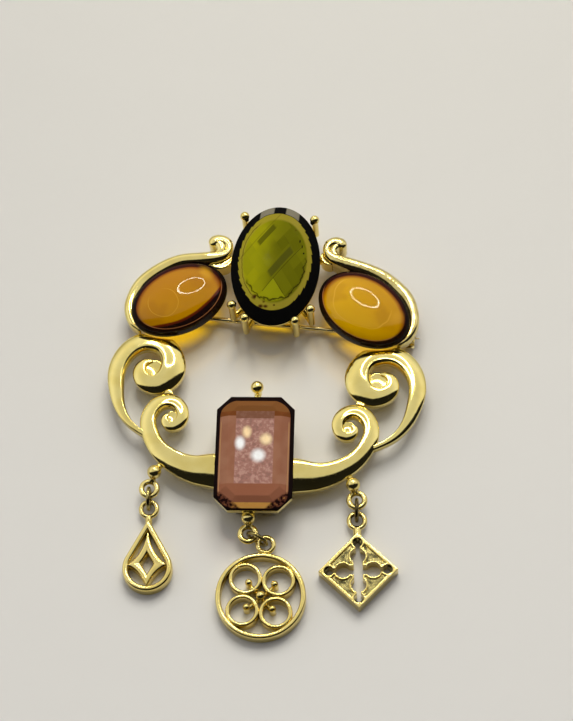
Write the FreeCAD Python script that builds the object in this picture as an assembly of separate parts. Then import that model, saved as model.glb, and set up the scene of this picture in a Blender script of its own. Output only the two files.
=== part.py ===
"""Scroll brooch with four glass stones and three hanging charms.

The brooch lies on its back. +X is its right, +Y its top and +Z its front.
z = 0 is the plane that the pin hinge, the catch and the lower collet rest on.
The origin is the middle of the whole outline, on that plane. Millimetres.
"""
import FreeCAD
import Part
import math
import os

Vector = FreeCAD.Vector
UP = Vector(0, 0, 1)

# ---- heights above the resting plane ----
BACK_Z = 2.6             # flat back of the cast pieces
SCROLL_EDGE_Z = 3.8      # top of the scrolls' upright edges
CRESCENT_EDGE_Z = (4.5, 6.1)        # at the thin end and at the curl
CRESCENT_RISE = (0.3, 0.75)         # shares of its length between which it rises
DOME_STEEP = 0.95        # a narrow band's dome rises this much of its half width
DOME_FLATTEN = 0.13      # and less, by this much per millimetre, as the band widens

# ---- amber side stones, 18 x 13 ----
AMBER_X = {-1: 16.75, 1: 16.3}      # distance from the middle, left and right
AMBER_Y = 21.3
AMBER_TILT = 33.9        # degrees, outer ends low
AMBER_HALF = (9.0, 6.45)
AMBER_FOOT_INSET = 1.2   # the setting tapers in by this much toward its back
AMBER_RIM_INSET = 0.03   # the stone's girdle overhangs the rim by this much
AMBER_WALL = 0.35
AMBER_LEDGE = 0.6
AMBER_SEAT_Z = 3.4
AMBER_RIM_Z = 4.9
AMBER_GIRDLE_Z = 5.3
AMBER_TOP_Z = 8.7

# ---- oval centre stone, 16 x 23.4 ----
OVAL_Y = 28.1
OVAL_HALF = (7.95, 11.7)
OVAL_RIM_INSET = 0.03
OVAL_FOOT_INSET = 1.85
OVAL_BAND_Z = 6.3        # the setting is upright above this
OVAL_WALL = 0.6
OVAL_SEAT_Z = 3.5
OVAL_RIM_Z = 6.9
OVAL_GIRDLE_Z = 7.6
OVAL_WINDOW_Z = 9.0
OVAL_TOP_Z = 10.0
OVAL_WINDOW_HALF = (6.7, 9.75)
OVAL_CULET_HALF = (5.0, 8.5)
OVAL_PRONGS = [(6.3, 37.2), (7.0, 19.4), (4.5, 17.0)]   # right-hand side, mirrored
PRONG_POST_R = 0.62
PRONG_BALL_R = 0.85
PRONG_BALL_Z = 8.3
PRONG_WEB = 4.0          # reach of the foot's web toward the setting
PRONG_NECK = (0.4, 0.9, 0.35)       # radius, reach over the stone, drop below the ball

# ---- octagonal lower stone ----
OCT_CENTRE = (-0.55, -7.9)
OCT_TWIST = 3.3          # degrees about +Z
OCT_SIZE = (13.7, 21.3, 2.45)       # width, height, corner
OCT_FOOT = (10.2, 17.2, 1.8)
OCT_WALL = 0.35
OCT_GIRDLE_INSET = 0.04
OCT_RIM_INSET = 0.12
OCT_BAND_Z = 5.0         # the collet is upright above this
OCT_RIM_Z = 6.2
OCT_GIRDLE_Z = 6.6
OCT_CULET = (6.4, 12.4, 1.0)
OCT_CULET_Z = 2.6
OCT_TABLE = (9.2, 16.8, 1.7)
OCT_TOP_Z = 7.9
OCT_CAVITY_WALL = 1.2
OCT_PRONG_REACH = 12.9   # from the stone's centre to the ball
OCT_BALL_R = 1.15
OCT_BALL_Z = 5.5
OCT_POST_R = 0.7
OCT_WEB = (0.6, 4.0)     # radius and length

# ---- pin, hinge and catch, built along X and then turned ----
PIN_TURN = -2.58         # degrees about +Z
PIN_Y = 19.3
PIN_Z = 1.35
PIN_R = 0.45
HINGE_X = -22.6
CATCH_X = 24.6
PIN_TIP_X = 26.4
RIVET_R = 0.4
RIVET_CLEARANCE = 0.04
EYE_R = 1.05
EYE_HALF = 0.56
PIN_NECK_R = 0.62        # the neck is a cone from the eye to the stem
PIN_NECK_END_X = -20.9
PIN_POINT_X = 23.4       # the point tapers from here
EAR_GAP = 0.62
EAR_THICK = 0.55
EAR_R = PIN_Z
SOLDER_PLATE = 0.5       # thickness of the hinge's and the catch's plates
HINGE_PLATE = (3.0, 3.4)
CATCH_PLATE_WIDTH = 2.8
PIN_TIP_R = 0.08
CATCH_OUTER_R = 1.3
CATCH_INNER_R = 0.86
ROLLER_R = 0.81
ROLLER_BORE_R = 0.51
CATCH_HALF = 1.0
CATCH_OPEN = (170.0, 312.0)   # degrees from +Y, through +Z
THUMB_TAB = (1.9, 0.36, 191.0)      # reach, thickness, degrees

# ---- hangers, jump rings and charms ----
HANGER_BALL_R = 1.25
HANGER_BALL_Z = 3.5
EYELET_Z = 2.2
EYELET = (1.35, 0.5)          # ring radius, wire radius
CHARM_LOOP = (1.38, 0.42)
CHARM_LOOP_Z = 1.3
JUMP_RING = (1.85, 0.33)
LOOP_SPACING = 3.45           # eyelet centre to charm loop centre
CHARM_THICK = 2.3
WEB_R = 0.45                  # rods between a charm's studs
NECK_Z = 1.2                  # a charm's neck between its loop and its body
ROUND_R = 7.75
ROUND_RIM = 0.9
ROUND_DROP = 9.5              # loop centre to charm centre
ROUND_RINGS = (2.88, 0.72)    # the four inner rings: radius and wall
ROUND_OVERLAP = 0.08          # the inner rings run this far into the rim
ROUND_STUD_R = 0.62
ROUND_STUD_OFFSET = 0.9       # from its ring's centre, toward the middle
ROUND_BOSS_R = 0.85
STUD_DOME_DROP = 0.3          # the studs' domes spring this far below the charm's top
DROP_R = 4.3
DROP_REACH = 9.0
DROP_RIM = 1.0
DROP_FALL = 10.95             # loop centre to the centre of the drop's round end
DIAMOND_HALF = 6.85           # half diagonal
DIAMOND_FALL = 9.35
DIAMOND_RECESS = 0.4
DIAMOND_FIELD = 0.87          # recessed field's share of the outline
DIAMOND_LIP = 0.34            # raised lip round the cut-out
DIAMOND_LOBES = [(2.6, 1.3, 1.5), (5.05, 0.82, 0.7)]   # offset, radius, width of its slot

HANGERS = {
    # name: ball centre, eyelet centre, neck start, direction to the charm in degrees
    "left": ((-17.95, -11.35), (-18.65, -14.05), (-16.9, -9.6), -86.0),
    "centre": ((-0.8, -18.75), (-0.7, -21.25), (-0.6, -17.4), -24.5),
    "right": ((16.75, -11.45), (17.55, -13.8), (15.9, -9.8), -86.0),
}

# ---- plan curves of the right-hand castings: x, y, half width ----
LARGE_SCROLL = [
    (19.7, -4.55, 0.45), (22.95, -2.5, 0.62), (25.55, 1.25, 1.05), (26.35, 4.05, 1.35),
    (26.7, 6.6, 1.52), (26.4, 8.9, 1.6), (25.4, 10.95, 1.66), (23.85, 12.55, 1.72),
    (21.8, 13.4, 1.76), (19.85, 13.35, 1.8), (17.95, 12.6, 1.9), (16.5, 10.85, 2.1),
    (16.05, 8.6, 2.3), (17.0, 6.35, 2.15), (19.1, 5.25, 1.85), (21.0, 5.75, 1.6),
    (22.15, 7.2, 1.35), (21.95, 8.8, 0.95), (20.95, 9.6, 0.55), (19.95, 9.7, 0.22)]
SMALL_SCROLL = [
    (4.9, -10.6, 3.3), (7.1, -10.45, 3.1), (9.5, -10.45, 2.7), (12.2, -9.85, 2.25),
    (14.5, -8.75, 1.95), (16.5, -7.25, 1.7), (17.95, -5.4, 1.55), (18.9, -3.3, 1.48),
    (19.2, -1.4, 1.42), (18.7, 0.4, 1.38), (17.45, 1.8, 1.34), (15.75, 2.25, 1.28),
    (14.1, 1.5, 1.2), (13.25, -0.2, 1.1), (13.75, -1.9, 0.98), (15.05, -2.6, 0.86),
    (16.15, -1.95, 0.68), (16.3, -0.9, 0.45), (15.6, -0.4, 0.2)]
CRESCENT = [
    (22.5, 15.2, 0.4), (23.95, 16.5, 0.8), (24.8, 18.2, 1.0), (25.1, 20.2, 1.05),
    (24.7, 22.3, 1.1), (23.65, 24.45, 1.25), (21.85, 26.35, 1.28), (19.3, 28.1, 1.25),
    (16.35, 29.25, 1.15)]
RIGHT_CURL = [
    (13.6, 29.9, 1.15), (11.3, 30.5, 1.1), (9.6, 31.25, 0.88), (8.72, 32.5, 0.66),
    (9.15, 33.75, 0.78), (10.25, 34.3, 0.86), (11.3, 33.8, 1.02), (11.45, 32.9, 0.95)]
LEFT_CURL = [
    (13.5, 29.5, 1.15), (11.0, 29.85, 1.12), (9.2, 30.4, 0.92), (8.25, 31.6, 0.68),
    (8.65, 32.85, 0.84), (9.85, 33.35, 1.0), (11.0, 32.95, 1.18), (11.2, 31.95, 1.1)]
SECTIONS_PER_STATION = 2
BRIDGE_PLAN = {-1: (-10.3, 29.7), 1: (9.4, 31.3)}     # under each crescent's curl
BRIDGE_HALF = {-1: (2.3, 1.9), 1: (1.7, 1.6)}
BRIDGE_TOP_Z = 5.6
BRIDGE_BAR = (0.7, 4.4, 4.4)  # radius, height above the plane, reach toward the oval setting
BRIDGE_BAR_Y = {-1: 29.6, 1: 31.0}
LINK_PLAN = (16.9, 3.45)      # solder bead between the two scrolls
LINK_R = 0.8
LINK_HEIGHT = 1.5

# The left castings are the right ones mirrored, then: scale along x, about which x, and shift
LEFT_LARGE = (0.93, 21.0, -0.4)
LEFT_SMALL = (1.0, 0.0, -0.85)
LEFT_CRESCENT = (1.0, 0.0, -0.5)
RIGHT_PLAIN = (1.0, 0.0, 0.0)

parts = {}


# ---------------------------------------------------------------- helpers
def placed(stations, side, fit):
    """Plan stations for one side: side is +1 right or -1 left."""
    scale, middle, shift = fit
    return [(side * (middle + (x - middle) * scale) + shift, y, half) for x, y, half in stations]


def chord_parameters(points):
    lengths = [0.0]
    for before, after in zip(points, points[1:]):
        lengths.append(lengths[-1] + before.distanceToPoint(after))
    return [length / lengths[-1] for length in lengths]


def spline(points, parameters):
    curve = Part.BSplineCurve()
    curve.interpolate(Points=points, Parameters=parameters)
    return curve


def edge_height(share, heights, rise):
    """Edge height at a share of a band's length, rising smoothly between the two rise shares."""
    t = min(1.0, max(0.0, (share - rise[0]) / (rise[1] - rise[0])))
    return heights[0] + (heights[1] - heights[0]) * t * t * (3 - 2 * t)


def domed_band(stations, heights, rise=(0.0, 1.0)):
    """Flat back, upright edges and a rounded top, along a smooth plan curve."""
    points = [Vector(x, y, 0) for x, y, half in stations]
    parameters = chord_parameters(points)
    path = spline(points, parameters)
    widths = [half for x, y, half in stations]
    taper = spline([Vector(half, u, 0) for half, u in zip(widths, parameters)], parameters)
    wires = []
    count = SECTIONS_PER_STATION * (len(stations) - 1)
    for index in range(count + 1):
        u = index / count
        middle = path.value(u)
        half = taper.value(u).x
        along = path.tangent(u)[0]
        across = Vector(-along.y, along.x, 0) * half
        low = UP * BACK_Z
        edge_z = edge_height(u, heights, rise)
        edge = UP * edge_z
        crown = middle + UP * (edge_z + half * (DOME_STEEP - DOME_FLATTEN * half))
        corners = [middle - across + low, middle + across + low,
                   middle + across + edge, middle - across + edge]
        wires.append(Part.Wire([
            Part.LineSegment(corners[0], corners[1]).toShape(),
            Part.LineSegment(corners[1], corners[2]).toShape(),
            Part.Arc(corners[2], crown, corners[3]).toShape(),
            Part.LineSegment(corners[3], corners[0]).toShape()]))
    return Part.makeLoft(wires, True, False)


def ellipse_wire(half_x, half_y, z):
    """Ellipse about the Z axis; the half axes may be in either order."""
    major = max(half_x, half_y)
    minor = min(half_x, half_y)
    ellipse = Part.Ellipse(Vector(0, 0, 0), major, minor).toShape()
    if half_y > half_x:
        ellipse.rotate(Vector(0, 0, 0), UP, 90)
    ellipse.translate(UP * z)
    return Part.Wire([ellipse])


def ellipse_prism(half, z_low, z_high):
    face = Part.Face(ellipse_wire(half[0], half[1], z_low))
    return face.extrude(UP * (z_high - z_low))


def ellipse_frustum(half_low, z_low, half_high, z_high):
    return Part.makeLoft([ellipse_wire(*half_low, z_low), ellipse_wire(*half_high, z_high)], True, True)


def ellipse_dome(half, z_low, z_high):
    dome = Part.makeSphere(1.0, Vector(0, 0, 0), UP, 0, 90, 360)
    scale = FreeCAD.Matrix()
    scale.scale(half[0], half[1], z_high - z_low)
    dome = dome.transformGeometry(scale)
    dome.translate(UP * z_low)
    return dome


def inset(half, amount):
    return (half[0] - amount, half[1] - amount)


def octagon_wire(size, z):
    width, height, corner = size
    x = width / 2
    y = height / 2
    plan = [(x, y - corner), (x - corner, y), (corner - x, y), (-x, y - corner),
            (-x, corner - y), (corner - x, -y), (x - corner, -y), (x, corner - y)]
    points = [Vector(px, py, z) for px, py in plan]
    return Part.makePolygon(points + points[:1])


def octagon_stack(levels):
    """Ruled octagonal solid through (size, z) levels."""
    return Part.makeLoft([octagon_wire(size, z) for size, z in levels], True, True)


def octagon_inset(size, amount):
    width, height, corner = size
    return (width - 2 * amount, height - 2 * amount, corner - 0.586 * amount)


def rod(start, end, radius):
    direction = end - start
    return Part.makeCylinder(radius, direction.Length, start, direction)


def ring(centre, axis, sizes):
    return Part.makeTorus(sizes[0], sizes[1], centre, axis)


def centred_box(size, foot):
    """Box standing on a point, centred over it."""
    return Part.makeBox(*size, foot - Vector(size[0] / 2, size[1] / 2, 0))


def joined(shapes):
    return shapes[0].multiFuse(shapes[1:]).removeSplitter()


def turned(shape, centre, degrees):
    """Turn about the Z axis and carry the shape's own origin to a plan point."""
    shape.rotate(Vector(0, 0, 0), UP, degrees)
    shape.translate(Vector(centre[0], centre[1], 0))
    return shape


def plan_direction(degrees):
    return Vector(math.cos(math.radians(degrees)), math.sin(math.radians(degrees)), 0)


def largest_solid(shape):
    return max(shape.Solids, key=lambda solid: solid.Volume)


# ---------------------------------------------------------------- stones and settings
def amber_place(shape, side):
    return turned(shape, (side * AMBER_X[side], AMBER_Y), -side * AMBER_TILT)


def make_amber(side):
    """Setting that tapers in toward its open back, a cabochon that overhangs it, and both as one form."""
    rim = inset(AMBER_HALF, AMBER_RIM_INSET)
    foot = inset(AMBER_HALF, AMBER_FOOT_INSET)
    seat = inset(AMBER_HALF, AMBER_RIM_INSET + AMBER_WALL)
    seat_foot = inset(foot, AMBER_WALL)
    window = inset(foot, AMBER_LEDGE)
    outer = ellipse_frustum(foot, BACK_Z, rim, AMBER_RIM_Z)
    hollow = ellipse_frustum(seat_foot, AMBER_SEAT_Z, seat, AMBER_RIM_Z)
    setting = outer.cut(hollow).cut(ellipse_prism(window, BACK_Z, AMBER_SEAT_Z))
    stone = joined([hollow, ellipse_prism(AMBER_HALF, AMBER_RIM_Z, AMBER_GIRDLE_Z),
                    ellipse_dome(AMBER_HALF, AMBER_GIRDLE_Z, AMBER_TOP_Z)])
    envelope = joined([outer, ellipse_prism(AMBER_HALF, AMBER_RIM_Z, AMBER_TOP_Z)])
    return [amber_place(shape, side) for shape in (envelope, setting, stone)]


def make_oval():
    """Setting that tapers in toward its open back, a deep stone on it, and both as one form."""
    rim = inset(OVAL_HALF, OVAL_RIM_INSET)
    foot = inset(OVAL_HALF, OVAL_FOOT_INSET)
    outer = joined([ellipse_frustum(foot, BACK_Z, rim, OVAL_BAND_Z),
                    ellipse_prism(rim, OVAL_BAND_Z, OVAL_RIM_Z)])
    cavity = ellipse_frustum(inset(foot, OVAL_WALL), OVAL_SEAT_Z, inset(rim, OVAL_WALL), OVAL_RIM_Z)
    window = ellipse_prism(OVAL_CULET_HALF, BACK_Z, OVAL_SEAT_Z)
    setting = outer.cut(cavity).cut(window)
    stone = joined([
        ellipse_frustum(OVAL_CULET_HALF, OVAL_SEAT_Z + 0.1, inset(rim, OVAL_WALL + 0.15), OVAL_RIM_Z),
        ellipse_prism(OVAL_HALF, OVAL_RIM_Z, OVAL_GIRDLE_Z),
        ellipse_frustum(OVAL_HALF, OVAL_GIRDLE_Z, OVAL_WINDOW_HALF, OVAL_WINDOW_Z),
        ellipse_dome(OVAL_WINDOW_HALF, OVAL_WINDOW_Z, OVAL_TOP_Z)])
    envelope = joined([outer, ellipse_prism(OVAL_HALF, OVAL_RIM_Z, OVAL_GIRDLE_Z)])
    return [turned(shape, (0, OVAL_Y), 0) for shape in (envelope, setting, stone)]


def make_oval_prongs(envelope, stone):
    prongs = []
    neck_r, neck_reach, neck_drop = PRONG_NECK
    for side in (-1, 1):
        for x, y in OVAL_PRONGS:
            foot = Vector(side * x, y, BACK_Z)
            head = Vector(side * x, y, PRONG_BALL_Z)
            inward = Vector(0, OVAL_Y, 0) - Vector(foot.x, foot.y, 0)
            inward.normalize()
            web_foot = foot + UP * PRONG_POST_R
            neck_end = head - UP * neck_drop
            prong = joined([
                rod(foot, head, PRONG_POST_R),
                Part.makeSphere(PRONG_BALL_R, head),
                rod(web_foot, web_foot + inward * PRONG_WEB, PRONG_POST_R),
                rod(neck_end, neck_end + inward * neck_reach, neck_r)])
            prongs.append(largest_solid(prong.cut(envelope).cut(stone)))
    return Part.makeCompound(prongs)


def make_octagon():
    rim = octagon_inset(OCT_SIZE, OCT_RIM_INSET)
    girdle = octagon_inset(OCT_SIZE, OCT_GIRDLE_INSET)
    seat = octagon_inset(rim, OCT_WALL)
    outer = octagon_stack([(OCT_FOOT, 0), (rim, OCT_BAND_Z), (rim, OCT_RIM_Z)])
    stone = joined([
        octagon_stack([(OCT_CULET, OCT_CULET_Z), (seat, OCT_BAND_Z + 0.3), (seat, OCT_RIM_Z)]),
        octagon_stack([(girdle, OCT_RIM_Z), (girdle, OCT_GIRDLE_Z), (OCT_TABLE, OCT_TOP_Z)])])
    cavity = octagon_stack([(octagon_inset(OCT_FOOT, OCT_CAVITY_WALL), 0),
                            (octagon_inset(OCT_SIZE, OCT_CAVITY_WALL), OCT_BAND_Z)])
    mouth = octagon_stack([(seat, OCT_BAND_Z), (seat, OCT_RIM_Z)])
    setting = outer.cut(cavity).cut(mouth).cut(stone)
    return [turned(shape, OCT_CENTRE, OCT_TWIST) for shape in (outer, largest_solid(setting), stone)]


def make_octagon_prong(envelope):
    up_stone = plan_direction(OCT_TWIST + 90)
    ball = Vector(OCT_CENTRE[0], OCT_CENTRE[1], OCT_BALL_Z) + up_stone * OCT_PRONG_REACH
    foot = Vector(ball.x, ball.y, BACK_Z)
    web_start = foot + UP * OCT_POST_R
    web_r, web_length = OCT_WEB
    web = rod(web_start, web_start - up_stone * web_length, web_r)
    head = Part.makeSphere(OCT_BALL_R, ball, up_stone)
    prong = joined([head, rod(foot, ball, OCT_POST_R), web])
    return largest_solid(prong.cut(envelope))


# ---------------------------------------------------------------- castings
def make_bridge(side):
    """Post under a crescent's curl, with a bar across to the oval setting."""
    x, y = BRIDGE_PLAN[side]
    bar_r, bar_z, bar_reach = BRIDGE_BAR
    post = turned(ellipse_prism(BRIDGE_HALF[side], BACK_Z, BRIDGE_TOP_Z), (x, y), 0)
    bar_start = Vector(x, BRIDGE_BAR_Y[side], bar_z)
    return joined([post, rod(bar_start, bar_start - Vector(side * bar_reach, 0, 0), bar_r)])


def make_castings(amber_envelopes, oval_envelope, octagon_envelope):
    for side, name in ((-1, "left"), (1, "right")):
        fits = (LEFT_LARGE, LEFT_SMALL, LEFT_CRESCENT) if side < 0 else (RIGHT_PLAIN,) * 3
        curl = LEFT_CURL if side < 0 else RIGHT_CURL
        large = domed_band(placed(LARGE_SCROLL, side, fits[0]), (SCROLL_EDGE_Z,) * 2)
        small = domed_band(placed(SMALL_SCROLL, side, fits[1]), (SCROLL_EDGE_Z,) * 2)
        crescent = domed_band(placed(CRESCENT + curl, side, fits[2]), CRESCENT_EDGE_Z, CRESCENT_RISE)
        amber = amber_envelopes[name]
        small = largest_solid(small.cut(octagon_envelope))
        large = largest_solid(large.cut(small).cut(amber))
        crescent = largest_solid(crescent.cut(amber).cut(large).cut(oval_envelope))
        bridge = largest_solid(make_bridge(side).cut(amber).cut(crescent).cut(oval_envelope))
        link_at = Vector(side * LINK_PLAN[0], LINK_PLAN[1], BACK_Z)
        link = Part.makeCylinder(LINK_R, LINK_HEIGHT, link_at)
        link = largest_solid(link.cut(large).cut(small))
        parts[name + "_large_scroll"] = large
        parts[name + "_small_scroll"] = small
        parts[name + "_crescent"] = crescent
        parts[name + "_bridge"] = bridge
        parts[name + "_scroll_link"] = link


# ---------------------------------------------------------------- hangers, rings and charms
def make_hanger(name, obstacles):
    ball_plan, eye_plan, neck_plan = HANGERS[name][:3]
    ball = Vector(ball_plan[0], ball_plan[1], HANGER_BALL_Z)
    eye = Vector(eye_plan[0], eye_plan[1], EYELET_Z)
    neck = Vector(neck_plan[0], neck_plan[1], HANGER_BALL_Z - 0.4)
    toward = eye - Vector(ball.x, ball.y, EYELET_Z)
    toward.normalize()
    stem_end = eye - toward * EYELET[0]
    hanger = joined([Part.makeSphere(HANGER_BALL_R, ball), ring(eye, UP, EYELET),
                     rod(ball, neck, 0.6), rod(ball, stem_end, 0.55)])
    for obstacle in obstacles:
        hanger = hanger.cut(obstacle)
    return largest_solid(hanger)


def make_jump_ring(name):
    eye_plan = HANGERS[name][1]
    heading = plan_direction(HANGERS[name][3])
    centre = Vector(eye_plan[0], eye_plan[1], EYELET_Z) + heading * JUMP_RING[0]
    return ring(centre, heading.cross(UP), JUMP_RING)


def loop_centre(name):
    eye_plan = HANGERS[name][1]
    return Vector(eye_plan[0], eye_plan[1], 0) + plan_direction(HANGERS[name][3]) * LOOP_SPACING


def place_charm(shape, name, degrees):
    """A charm is drawn with its loop's centre at the origin, hanging toward -Y."""
    centre = loop_centre(name)
    return turned(shape, (centre.x, centre.y), degrees)


def charm_loop():
    return ring(UP * CHARM_LOOP_Z, UP, CHARM_LOOP)


def flat_ring(centre, outer, inner, height):
    solid = Part.makeCylinder(outer, height, centre)
    return solid.cut(Part.makeCylinder(inner, height, centre))


def domed_stud(centre, radius):
    """Round stud standing on the resting plane, with a dome on top."""
    shoulder = CHARM_THICK - STUD_DOME_DROP
    return [Part.makeCylinder(radius, shoulder, centre), Part.makeSphere(radius, centre + UP * shoulder)]


def make_round_charm():
    small, wall = ROUND_RINGS
    reach = ROUND_R - ROUND_RIM - small + ROUND_OVERLAP
    middle = Vector(0, -ROUND_DROP, 0)
    pieces = [charm_loop(), flat_ring(middle, ROUND_R, ROUND_R - ROUND_RIM, CHARM_THICK)]
    for quarter in range(4):
        out = plan_direction(45 + 90 * quarter)
        centre = middle + out * reach
        stud = centre - out * ROUND_STUD_OFFSET
        web = ROUND_STUD_R * UP
        pieces.append(flat_ring(centre, small, small - wall, CHARM_THICK))
        pieces.append(rod(stud + web, middle + web, WEB_R))
        pieces.extend(domed_stud(stud, ROUND_STUD_R))
    pieces.extend(domed_stud(middle, ROUND_BOSS_R))
    return place_charm(clip_below(joined(pieces)), "centre", 0.0)


def clip_below(shape):
    """Keep what is above the resting plane."""
    span = 60.0
    depth = 5.0
    waste = Part.makeBox(span, span, depth, Vector(-span / 2, -span + depth, -depth))
    return largest_solid(shape.cut(waste))


def drop_face(radius, reach):
    """Round-bottomed drop: a circle at the origin and two tangents to a point at +Y reach."""
    half = math.acos(radius / reach)
    left = Vector(-radius * math.sin(half), radius * math.cos(half), 0)
    right = Vector(radius * math.sin(half), radius * math.cos(half), 0)
    tip = Vector(0, reach, 0)
    arc = Part.Arc(left, Vector(0, -radius, 0), right).toShape()
    sides = [Part.LineSegment(right, tip).toShape(), Part.LineSegment(tip, left).toShape()]
    return Part.Face(Part.Wire([arc] + sides))


def curved_star(points, bows):
    edges = []
    for index, point in enumerate(points):
        after = points[(index + 1) % len(points)]
        edges.append(Part.Arc(Vector(*point), Vector(*bows[index]), Vector(*after)).toShape())
    return Part.Face(Part.Wire(edges))


def neck_rod(reach, radius):
    return rod(Vector(0, -CHARM_LOOP[0], NECK_Z), Vector(0, -reach, NECK_Z), radius)


def make_teardrop_charm():
    outer = drop_face(DROP_R, DROP_REACH).extrude(UP * CHARM_THICK)
    inner_face = drop_face(DROP_R - DROP_RIM, DROP_REACH * (1 - DROP_RIM / DROP_R))
    star = curved_star([(-3.6, 0.4), (0, -3.6), (3.6, 0.4), (0, 7.2)],
                       [(-1.55, -0.95), (1.55, -0.95), (1.2, 3.0), (-1.2, 3.0)])
    window_plan = [(-1.15, 0.75), (0, -1.2), (1.15, 0.75), (0, 2.7), (-1.15, 0.75)]
    window = Part.Face(Part.makePolygon([Vector(x, y, 0) for x, y in window_plan]))
    star = star.extrude(UP * CHARM_THICK).cut(window.extrude(UP * CHARM_THICK)).common(outer)
    drop = joined([outer.cut(inner_face.extrude(UP * CHARM_THICK)), star])
    drop.translate(Vector(0, -DROP_FALL, 0))
    return place_charm(joined([drop, charm_loop(), neck_rod(2.6, 0.6)]), "left", 4.8)


def square_on_point(half_diagonal):
    plan = [(half_diagonal, 0), (0, half_diagonal), (-half_diagonal, 0), (0, -half_diagonal)]
    points = [Vector(x, y, 0) for x, y in plan]
    return Part.Face(Part.makePolygon(points + points[:1])).extrude(UP * CHARM_THICK)


def diamond_cross(grow):
    """Cut-out of the diamond charm: two round lobes on each arm, joined by slots."""
    pieces = []
    for quarter in range(4):
        out = plan_direction(90 * quarter)
        for offset, radius, slot_width in DIAMOND_LOBES:
            pieces.append(Part.makeCylinder(radius + grow, CHARM_THICK, out * offset))
            half = slot_width / 2 + grow
            slot = Part.makeBox(offset, 2 * half, CHARM_THICK, Vector(0, -half, 0))
            slot.rotate(Vector(0, 0, 0), UP, 90 * quarter)
            pieces.append(slot)
    return joined(pieces)


def make_diamond_charm():
    field = square_on_point(DIAMOND_HALF * DIAMOND_FIELD)
    field.translate(UP * (CHARM_THICK - DIAMOND_RECESS))
    field = field.cut(diamond_cross(DIAMOND_LIP))
    charm = square_on_point(DIAMOND_HALF).cut(field).cut(diamond_cross(0))
    charm.translate(Vector(0, -DIAMOND_FALL, 0))
    return place_charm(joined([charm, charm_loop(), neck_rod(3.6, 0.7)]), "right", 5.8)


# ---------------------------------------------------------------- pin, hinge and catch
def pin_place(shape):
    shape.rotate(Vector(0, 0, 0), UP, PIN_TURN)
    shape.translate(Vector(0, PIN_Y, 0))
    return shape


def hinge_cylinder(radius, low, high):
    """Cylinder about the hinge axis."""
    return Part.makeCylinder(radius, high - low, Vector(HINGE_X, low, PIN_Z), Vector(0, 1, 0))


def make_hinge():
    outer = EAR_GAP + EAR_THICK
    ear_height = BACK_Z - SOLDER_PLATE / 2 - PIN_Z
    plate = centred_box(HINGE_PLATE + (SOLDER_PLATE,), Vector(HINGE_X, 0, BACK_Z - SOLDER_PLATE))
    pieces = [plate.cut(hinge_cylinder(EYE_R + 0.1, -EAR_GAP, EAR_GAP))]
    for low in (-outer, EAR_GAP):
        pieces.append(hinge_cylinder(EAR_R, low, low + EAR_THICK))
        foot = Vector(HINGE_X, low + EAR_THICK / 2, PIN_Z)
        pieces.append(centred_box((2 * EAR_R, EAR_THICK, ear_height), foot))
    rivet = hinge_cylinder(RIVET_R, -outer, outer)
    above = centred_box(HINGE_PLATE + (1.0,), Vector(HINGE_X, 0, BACK_Z))
    parts["pin_hinge_base"] = pin_place(joined(pieces).cut(rivet).cut(above))
    parts["pin_hinge_rivet"] = pin_place(rivet)


def make_pin():
    neck_start = Vector(HINGE_X + PIN_NECK_R, 0, PIN_Z)
    neck_end = Vector(PIN_NECK_END_X, 0, PIN_Z)
    point_start = Vector(PIN_POINT_X, 0, PIN_Z)
    pieces = [
        hinge_cylinder(EYE_R, -EYE_HALF, EYE_HALF),
        Part.makeCone(PIN_NECK_R, PIN_R, neck_end.x - neck_start.x, neck_start, Vector(1, 0, 0)),
        rod(neck_end, point_start, PIN_R),
        Part.makeCone(PIN_R, PIN_TIP_R, PIN_TIP_X - PIN_POINT_X, point_start, Vector(1, 0, 0))]
    hole = hinge_cylinder(RIVET_R + RIVET_CLEARANCE, -EYE_HALF, EYE_HALF)
    parts["pin_stem"] = pin_place(joined(pieces).cut(hole))


def catch_cylinder(radius, half):
    return Part.makeCylinder(radius, 2 * half, Vector(CATCH_X - half, 0, PIN_Z), Vector(1, 0, 0))


def catch_wedge(radius, start, end):
    """Wedge about the catch axis, from start to end degrees measured from +Y through +Z."""
    wedge = Part.makeCylinder(radius, 2 * CATCH_HALF, Vector(0, 0, 0), UP, end - start)
    wedge.rotate(Vector(0, 0, 0), UP, start)
    wedge.rotate(Vector(0, 0, 0), Vector(1, 0, 0), 90)
    wedge.rotate(Vector(0, 0, 0), UP, 90)
    wedge.translate(Vector(CATCH_X - CATCH_HALF, 0, PIN_Z))
    return wedge


def make_catch():
    width = 2 * CATCH_HALF
    plate_foot = Vector(CATCH_X, 0, BACK_Z - SOLDER_PLATE)
    plate = centred_box((width, CATCH_PLATE_WIDTH, SOLDER_PLATE), plate_foot)
    shell = catch_cylinder(CATCH_OUTER_R, CATCH_HALF)
    shell = shell.cut(catch_wedge(2 * CATCH_OUTER_R, *CATCH_OPEN))
    above = centred_box((2 * width, CATCH_PLATE_WIDTH, 1.0), Vector(CATCH_X, 0, BACK_Z))
    body = joined([shell, plate]).cut(catch_cylinder(CATCH_INNER_R, width)).cut(above)
    parts["catch_body"] = pin_place(largest_solid(body))


def make_roller():
    width = 2 * CATCH_HALF
    reach, thickness, degrees = THUMB_TAB
    tab = Part.makeBox(width, reach, thickness, Vector(CATCH_X - CATCH_HALF, 0, -thickness / 2))
    tab.rotate(Vector(CATCH_X, 0, 0), Vector(1, 0, 0), degrees)
    tab.translate(UP * PIN_Z)
    slot = centred_box((width, 2 * ROLLER_BORE_R, 2.0), Vector(CATCH_X, 0, PIN_Z - 2.0))
    roller = joined([catch_cylinder(ROLLER_R, CATCH_HALF), tab])
    roller = roller.cut(catch_cylinder(ROLLER_BORE_R, CATCH_HALF)).cut(slot)
    parts["catch_roller"] = pin_place(largest_solid(roller))


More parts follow.
